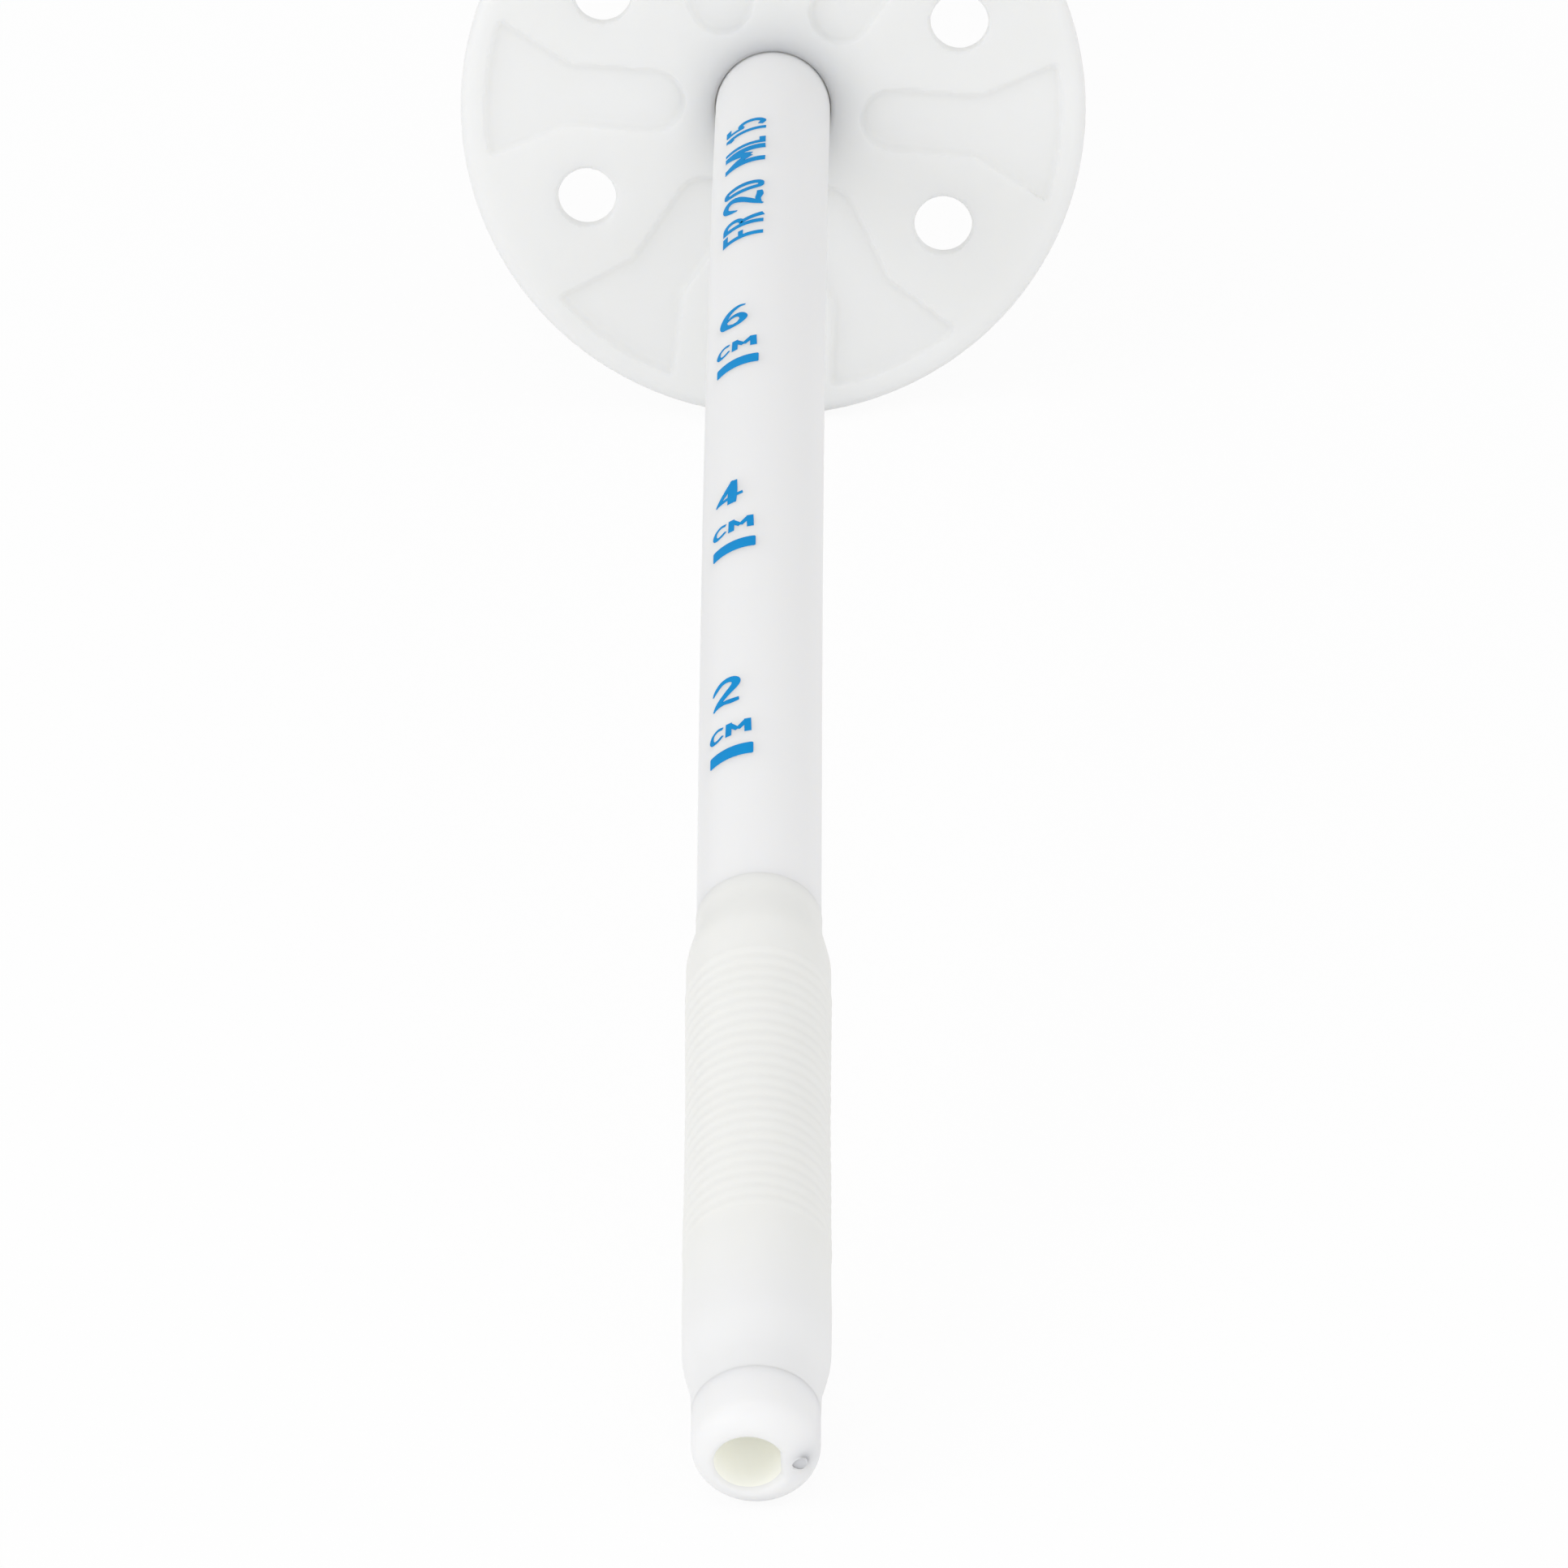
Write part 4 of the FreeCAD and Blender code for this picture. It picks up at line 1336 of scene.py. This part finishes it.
@dataclass
class Arm:
    """One arm of the head, from the hub to its lipped mouth."""

    place: Matrix
    length: float
    radius: float
    lip_radius: float
    bore_radius: float
    bore_depth: float
    lip: float = 2.0
    lip_rounding: float = 0.6
    mouth_rounding: float = 0.3
    overshoot: float = 4.0

    def outside(self, name: str) -> Object:
        """Spin the arm with its rounded lip.

        Args:
            name: the new object's name.

        Returns:
            The solid arm at its place.
        """
        rounding = min(self.lip_rounding, self.lip_radius - self.radius)
        flat = self.lip_radius - rounding
        start = self.length - self.lip
        outline = [(0, 0), (self.radius, 0), (self.radius, start)]
        if rounding > 0:
            outline += arc((flat, start + rounding), rounding, -90, 0, 5)
        corner = (self.lip_radius - self.mouth_rounding, self.length - self.mouth_rounding)
        outline += arc(corner, self.mouth_rounding, 0, 90, 3) + [(0, self.length)]
        return placed(turned(name, outline, segments=72), self.place)

    def bore(self, slack: float) -> Object:
        """Model the cutter for the arm's bore.

        Args:
            slack: by how much the bore is widened, in millimetres.

        Returns:
            The cutter at its place.
        """
        end = self.length + self.overshoot
        cutter = rod("bore", self.bore_radius + slack, self.length - self.bore_depth, end)
        return placed(cutter, self.place)


@dataclass
class FeedingHead:
    """Moulded silicone head: a neck on the tube, a hub, a web and three arms."""

    route: Route
    feeding: Arm
    medication: Arm
    inflation: Arm
    hub_radius: float = 6.6
    neck_radius: float = 4.7
    web_thickness: float = 3.0
    web_reach: float = 13.0
    tube_radius: float = 3.335
    seat_gap: float = 0.02
    bore_gap: float = 0.04
    grain: float = 0.24
    smoothing: int = 4
    blend_reach: float = 15.0
    blend_fade: float = 3.0
    blend_passes: int = 60

    def web(self) -> Object:
        """Model the flat gusset between the arms.

        Returns:
            The gusset.
        """
        ends = [arm.place @ Vector((0, 0, self.web_reach * MM))
                for arm in (self.medication, self.feeding, self.inflation)]
        outline = [(point.x / MM, point.y / MM) for point in [self.route.tail_point] + ends]
        height = self.route.hub.z / MM
        return prism("web", outline, height - self.web_thickness / 2, height + self.web_thickness / 2)

    def solids(self) -> list[Object]:
        """Model the overlapping solids that the moulding is made of.

        Returns:
            The neck, the hub, the gusset and the three arms.
        """
        neck = rod("neck", self.neck_radius, 0, self.route.hub_station, segments=72, tip=self.hub_radius)
        placed(neck, facing(self.route.tail_point, Axis.Y.value, Axis.Z.value))
        bpy.ops.mesh.primitive_uv_sphere_add(segments=64, ring_count=32, radius=self.hub_radius * MM,
                                             location=self.route.hub)
        hub = named("hub")
        bpy.ops.object.transform_apply(location=True)
        return [neck, hub, self.web(), self.feeding.outside("feeding_arm"),
                self.medication.outside("medication_arm"), self.inflation.outside("inflation_arm")]

    def build(self) -> Object:
        """Melt the solids together, soften the crotches, and cut the tube's seat and the bores.

        Returns:
            The dressed head.
        """
        head = moulded("moulded_head", self.solids(), self.grain, self.smoothing)
        crotch = head.vertex_groups.new(name="crotch")
        hub = self.route.hub
        for vertex in head.data.vertices:
            distance = (vertex.co - hub).length / MM
            if distance < self.blend_reach:
                share = min(1.0, (self.blend_reach - distance) / self.blend_fade)
                crotch.add([vertex.index], share, "REPLACE")
        modified(head, "SMOOTH", factor=0.5, iterations=self.blend_passes, vertex_group="crotch")
        mouth = -self.feeding.overshoot
        seat = rod("seat", self.tube_radius + self.seat_gap, mouth, self.route.seat, segments=96)
        placed(seat, facing(self.route.tail_point, Axis.Y.value, Axis.Z.value))
        combined(head, seat, Sweep.TAKE)
        gaps = (self.bore_gap, self.bore_gap, 0.0)
        for arm, gap in zip((self.feeding, self.medication, self.inflation), gaps):
            combined(head, arm.bore(gap), Sweep.TAKE)
        dress(head, HEAD_SILICONE)
        smooth(head, 50)
        hand_over(head, "tube", "head_silicone", "feeding_head")
        return head


@dataclass
class PortPlug:
    """A plug in its port, with a tab, and a strap back to a ring round the arm: one moulding."""

    name: str
    node: str
    body: str
    arm: Arm
    fit_gap: float = 0.05
    stem_length: float = 7.0
    seat_gap: float = 0.05
    flange: float = 1.8
    flange_inset: float = 0.5
    ring_gap: float = 0.12
    ring_wall: float = 1.15
    ring_length: float = 3.2
    travel: float = 8.0
    stop_gap: float = 1.0
    strap_width: float = 4.0
    strap: float = 1.3
    strap_rise: float = 2.4
    bend: float = 2.2
    tab_length: float = 4.5
    tab_width: float = 5.0
    rib: float = 0.3
    ribs: int = 3
    rib_start: float = 0.8
    rib_pitch: float = 1.2
    rib_inset: float = 0.7
    skin_gap: float = 0.02
    nose_slope: float = 0.8
    flange_slope: float = 0.2
    flange_rounding: float = 0.4
    dish_rim: float = 1.6
    dish_slope: float = 0.4
    dish_depth: float = 0.35
    strap_rounding: float = 0.35
    grain: float = 0.17
    smoothing: int = 3

    @property
    def base(self) -> float:
        """How far from the hub the flange's foot is."""
        return self.arm.length + self.seat_gap

    @property
    def flange_radius(self) -> float:
        """The flange's radius, a little inside the lip's."""
        return self.arm.lip_radius - self.flange_inset

    @property
    def ring_end(self) -> float:
        """How far from the hub the ring's outer rim is."""
        return self.arm.length - self.arm.lip - self.travel - self.stop_gap

    def stopper(self) -> Object:
        """Spin the stem and the flange, with a shallow dish in the flange's top.

        Returns:
            The stopper.
        """
        stem = self.arm.bore_radius - self.fit_gap - self.skin_gap
        nose = self.base - self.stem_length
        top = self.base + self.flange
        outline = [(0, nose), (stem - self.nose_slope, nose), (stem, nose + self.nose_slope),
                   (stem, self.base), (self.flange_radius - self.flange_slope, self.base)]
        corner = (self.flange_radius - self.flange_rounding, top - self.flange_rounding)
        outline += arc(corner, self.flange_rounding, 0, 90, 4)
        dish = self.flange_radius - self.dish_rim
        outline += [(dish, top), (dish - self.dish_slope, top - self.dish_depth), (0, top - self.dish_depth)]
        return turned("stopper", outline, segments=72)

    def tab(self) -> Object:
        """Model the tongue beside the flange, with its ribs to grip.

        Returns:
            The tab.
        """
        half = self.tab_width / 2
        end = self.flange_radius + self.tab_length - half
        outline = [(0, -half)] + arc((end, 0), half, -90, 90, 16) + [(0, half)]
        top = self.base + self.flange - self.rib
        tongue = prism("tab", outline, self.base, top)
        across = Matrix.Rotation(math.radians(90), 4, "X")
        for index in range(self.ribs):
            rib = rod("rib", self.rib, self.rib_inset - half, half - self.rib_inset, segments=16)
            reach = self.flange_radius + self.rib_start + index * self.rib_pitch
            shift = Matrix.Translation((reach * MM, 0, top * MM))
            combined(tongue, placed(rib, shift @ across), Sweep.ADD)
        return placed(tongue, Matrix.Rotation(math.pi, 4, "Z"))

    def band(self) -> Object:
        """Draw the strap's arch from the side and give it its width.

        Returns:
            The strap.
        """
        start = self.ring_end - self.ring_length / 2
        end = self.base + self.flange / 2
        top = self.arm.lip_radius + self.strap_rise
        half = self.strap / 2
        foot = self.arm.radius + self.ring_gap + self.ring_wall / 2
        level = top - self.bend
        outer = arc((start + self.bend, level), self.bend + half, 180, 90, 10)
        outer += arc((end - self.bend, level), self.bend + half, 90, 0, 10)
        inner = arc((end - self.bend, level), self.bend - half, 0, 90, 10)
        inner += arc((start + self.bend, level), self.bend - half, 90, 180, 10)
        hold = self.flange_radius - self.strap
        outline = [(start - half, foot)] + outer + [(end + half, hold)]
        outline += [(end - half, hold)] + inner + [(start + half, foot)]
        strip = prism("band", outline, -self.strap_width / 2, self.strap_width / 2)
        rounded(strip, self.strap_rounding)
        upright = Matrix(((0, 0, 1, 0), (0, 1, 0, 0), (1, 0, 0, 0), (0, 0, 0, 1)))
        return close_up(placed(strip, upright))

    def ring(self) -> Object:
        """Spin the ring round the arm, with rounded rims.

        Returns:
            The ring.
        """
        inner = self.arm.radius + self.ring_gap
        outer = inner + self.ring_wall
        start = self.ring_end - self.ring_length
        middle = (inner + outer) / 2
        half = self.ring_wall / 2
        outline = arc((middle, self.ring_end - half), half, 0, 180, 8)
        outline += arc((middle, start + half), half, 180, 360, 8)
        return turned("ring", outline, segments=72)

    def build(self) -> Object:
        """Melt stopper, tab, strap and ring into one moulding.

        Returns:
            The dressed plug.
        """
        parts = [self.stopper(), self.tab(), self.band(), self.ring()]
        plug = moulded(self.name, parts, self.grain, self.smoothing)
        placed(plug, self.arm.place)
        dress(plug, PLUG_SILICONE)
        smooth(plug, 60)
        hand_over(plug, self.body, "plug_silicone", self.node)
        return plug


@dataclass
class InflationValve:
    """Plastic one-way valve in the inflation arm, with its sprung poppet."""

    arm: Arm
    hub_length: float = 8.5
    stem_radius: float = 3.0
    stem_length: float = 9.0
    flange_radius: float = 4.4
    flange: float = 1.2
    hub_radius: float = 3.5
    lug_reach: float = 0.45
    lug_width: float = 3.0
    lug: float = 1.0
    socket_radius: float = 2.1
    socket_depth: float = 5.5
    seat_radius: float = 1.7
    seat_depth: float = 1.2
    throat_radius: float = 1.3
    throat: float = 1.4
    chamber_radius: float = 2.45
    grips: int = 12
    grip_radius: float = 0.32
    grip_shift: float = 0.14
    grip_inset: float = 0.8
    edge: float = 0.15
    segments: int = 72
    margin: float = 2.0

    def body(self) -> Object:
        """Model the housing: stem, flange, gripped hub and locking lugs, bored through.

        Returns:
            The housing.
        """
        start = self.arm.length
        end = start + self.hub_length
        inner = start - self.stem_length
        hub_start = start + self.flange
        outline = [(0, inner), (self.stem_radius, inner), (self.stem_radius, start),
                   (self.flange_radius, start), (self.flange_radius, hub_start),
                   (self.hub_radius, hub_start), (self.hub_radius, end), (0, end)]
        housing = turned("valve_housing", outline, self.segments)
        reach = self.hub_radius + self.lug_reach
        lugs = rod("lugs", reach, end - self.lug, end, self.segments)
        half = self.lug_width / 2
        side = [(-reach, -half), (reach, -half), (reach, half), (-reach, half)]
        combined(lugs, prism("lug_bar", side, end - self.lug - 1, end + 1), Sweep.KEEP)
        combined(housing, lugs, Sweep.ADD)
        self.groove(housing, hub_start + self.grip_inset, end - self.lug - self.grip_inset)
        rounded(housing, self.edge, 2)
        socket = end - self.socket_depth
        floor = socket - self.seat_depth
        below = floor - self.throat
        outline = [(0, inner - self.margin), (self.chamber_radius, inner - self.margin),
                   (self.chamber_radius, below), (self.throat_radius, below), (self.throat_radius, floor),
                   (self.seat_radius, floor), (self.seat_radius, socket), (self.socket_radius, socket),
                   (self.socket_radius, end + self.margin), (0, end + self.margin)]
        return combined(housing, turned("valve_passage", outline, self.segments), Sweep.TAKE)

    def groove(self, housing: Object, low: float, high: float) -> None:
        """Cut shallow grip grooves along the hub.

        Args:
            housing: the housing to cut.
            low: the height of the grooves' start.
            high: the height of their end.
        """
        cutter = rod("groove", self.grip_radius, low, high, segments=12)
        placed(cutter, Matrix.Translation(((self.hub_radius + self.grip_shift) * MM, 0, 0)))
        for index in range(self.grips):
            combined(housing, copied(cutter, 360 / self.grips * (index + 0.5)), Sweep.TAKE)
        bpy.data.objects.remove(cutter)

    def build(self) -> Object:
        """Model the housing, and finish the pieces inside it, whose solids already have their form.

        Returns:
            The dressed housing.
        """
        housing = placed(self.body(), self.arm.place)
        dress(housing, VALVE_PLASTIC)
        smooth(housing, 35)
        hand_over(housing, "tube", "valve_plastic", "valve_body")
        inside = {"valve_poppet": POPPET_PLASTIC, "valve_seal": SEAL_RUBBER, "valve_spring": SPRING_STEEL,
                  "valve_retainer": VALVE_PLASTIC}
        for node, finish in inside.items():
            dress(frame["nodes"][node], finish)
            LOG.info("%s: finished", node)
        return housing


# The studio

def any_ray(tree: bpy.types.NodeTree, *kinds: str) -> bpy.types.NodeSocket:
    """Tell in a material whether a ray is of one of several kinds.

    Args:
        tree: the node tree.
        kinds: the kinds, as the light path names them.

    Returns:
        One for such a ray, and zero for any other.
    """
    path = add_node(tree, "ShaderNodeLightPath", {}, {})
    found = path.outputs[kinds[0]]
    for kind in kinds[1:]:
        either = add_node(tree, "ShaderNodeMath", {"operation": "MAXIMUM"}, {0: found, 1: path.outputs[kind]})
        found = either.outputs[0]
    return found


@dataclass(frozen=True)
class SoftBox:
    """A square lamp: its place and its side in metres, and its power in watts."""

    name: str
    place: tuple[float, float, float]
    side: float
    power: float

    def hang(self) -> None:
        """Hang the lamp, facing the object."""
        clear()
        bpy.ops.object.light_add(type="AREA", location=self.place)
        lamp = bpy.context.object
        lamp.name = self.name
        lamp.data.shape = "SQUARE"
        lamp.data.size = self.side
        lamp.data.energy = self.power
        lamp.rotation_euler = (-Vector(self.place)).to_track_quat("-Z", "Y").to_euler()


@dataclass
class Studio:
    """Plain white floor, soft light from the left, and the camera at the photograph's angle."""

    target: Vector = Vector((1.07, -64.1, 10.0)) * MM
    azimuth: float = -1.48
    elevation: float = 27.22
    roll: float = -2.04
    distance: float = 847.0
    lens: float = 356.7
    floor_size: float = 6.0
    floor_drop: float = 0.05
    world_light: float = 0.78
    shadow_share: float = 0.1
    lamps: tuple = (SoftBox("key", (-0.85, -0.45, 0.5), 0.6, 2.15),
                    SoftBox("fill", (0.7, -0.5, 0.7), 0.7, 0.9),
                    SoftBox("front", (0.0, -1.1, 0.45), 0.6, 1.25))

    def camera(self) -> None:
        """Aim the camera from the photograph's side, with its slight roll."""
        turn, rise = math.radians(self.azimuth), math.radians(self.elevation)
        look = Vector((math.sin(turn) * math.cos(rise), math.cos(turn) * math.cos(rise), -math.sin(rise)))
        clear()
        bpy.ops.object.camera_add(location=self.target - look * self.distance * MM)
        camera = bpy.context.object
        aim = look.to_track_quat("-Z", "Y").to_matrix() @ Matrix.Rotation(math.radians(self.roll), 3, "Z")
        camera.rotation_euler = aim.to_euler()
        camera.data.lens = self.lens
        camera.data.sensor_width = 36
        camera.data.clip_start = 0.01
        bpy.context.scene.camera = camera

    def floor(self) -> None:
        """A wide floor that the eye sees as white, with the object's shadow kept faint."""
        clear()
        bpy.ops.mesh.primitive_plane_add(size=self.floor_size, location=(0, 0, -self.floor_drop * MM))
        floor = named("studio_floor")
        material, tree, output = blank("studio_floor")
        seen = any_ray(tree, "Is Camera Ray", "Is Glossy Ray", "Is Transmission Ray")
        share = add_node(tree, "ShaderNodeMath", {"operation": "MULTIPLY"}, {
            0: seen, 1: 1 - self.shadow_share})
        paint = add_node(tree, "ShaderNodeBsdfDiffuse", {}, {"Color": linear("#FBFBFB")})
        white = add_node(tree, "ShaderNodeEmission", {}, {"Color": (1, 1, 1, 1), "Strength": 1.0})
        mixed = add_node(tree, "ShaderNodeMixShader", {}, {0: share.outputs[0], 1: paint.outputs[0],
                                                           2: white.outputs[0]})
        tree.links.new(mixed.outputs[0], output.inputs["Surface"])
        floor.data.materials.append(material)

    def world(self) -> None:
        """White surroundings: white to the eye, and a plain level of light on the object."""
        world = bpy.data.worlds.new("studio_white")
        world.use_nodes = True
        tree = world.node_tree
        tree.nodes.clear()
        seen = any_ray(tree, "Is Camera Ray", "Is Transmission Ray")
        level = add_node(tree, "ShaderNodeMapRange", {}, {
            "Value": seen, "To Min": self.world_light, "To Max": 1.0})
        sky = add_node(tree, "ShaderNodeBackground", {}, {
            "Color": (1, 1, 1, 1), "Strength": level.outputs[0]})
        output = add_node(tree, "ShaderNodeOutputWorld", {}, {"Surface": sky.outputs[0]})
        output.is_active_output = True
        bpy.context.scene.world = world

    def build(self) -> None:
        """Set the camera, the floor, the lights and the surroundings."""
        self.camera()
        self.floor()
        self.world()
        for lamp in self.lamps:
            lamp.hang()
        bpy.context.scene.view_settings.view_transform = "Standard"


def main() -> None:
    """Build every piece in order, then the studio."""
    logging.basicConfig(level=logging.INFO, format="%(name)s: %(message)s")
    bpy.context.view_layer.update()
    places = Places(frame["record"])
    route = places.route()
    shaft = Shaft(route)
    shaft.build()
    LumenSeal(route, shaft).build()
    Balloon(route).build()
    DepthMarks(route).build()
    RetentionDisc(route).build()
    feeding = Arm(places.arm("feeding_port", route.feeding_length), length=route.feeding_length,
                  radius=5.6, lip_radius=7.0, bore_radius=3.3, bore_depth=16.0)
    medication = Arm(places.arm("medication_port", 30.0), length=30.0,
                     radius=4.6, lip_radius=5.7, bore_radius=2.4, bore_depth=12.0)
    inflation = Arm(places.arm("inflation_socket", 25.0 + InflationValve.hub_length), length=25.0,
                    radius=4.3, lip_radius=4.3, bore_radius=3.0, bore_depth=9.0)
    FeedingHead(route, feeding, medication, inflation).build()
    PortPlug("feeding_stopper", "feeding_plug", "feed_plug", feeding).build()
    PortPlug("medication_stopper", "medication_plug", "med_plug", medication).build()
    InflationValve(inflation).build()
    bpy.data.objects.remove(route.curve)
    Studio().build()


if __name__ == "__main__":
    main()
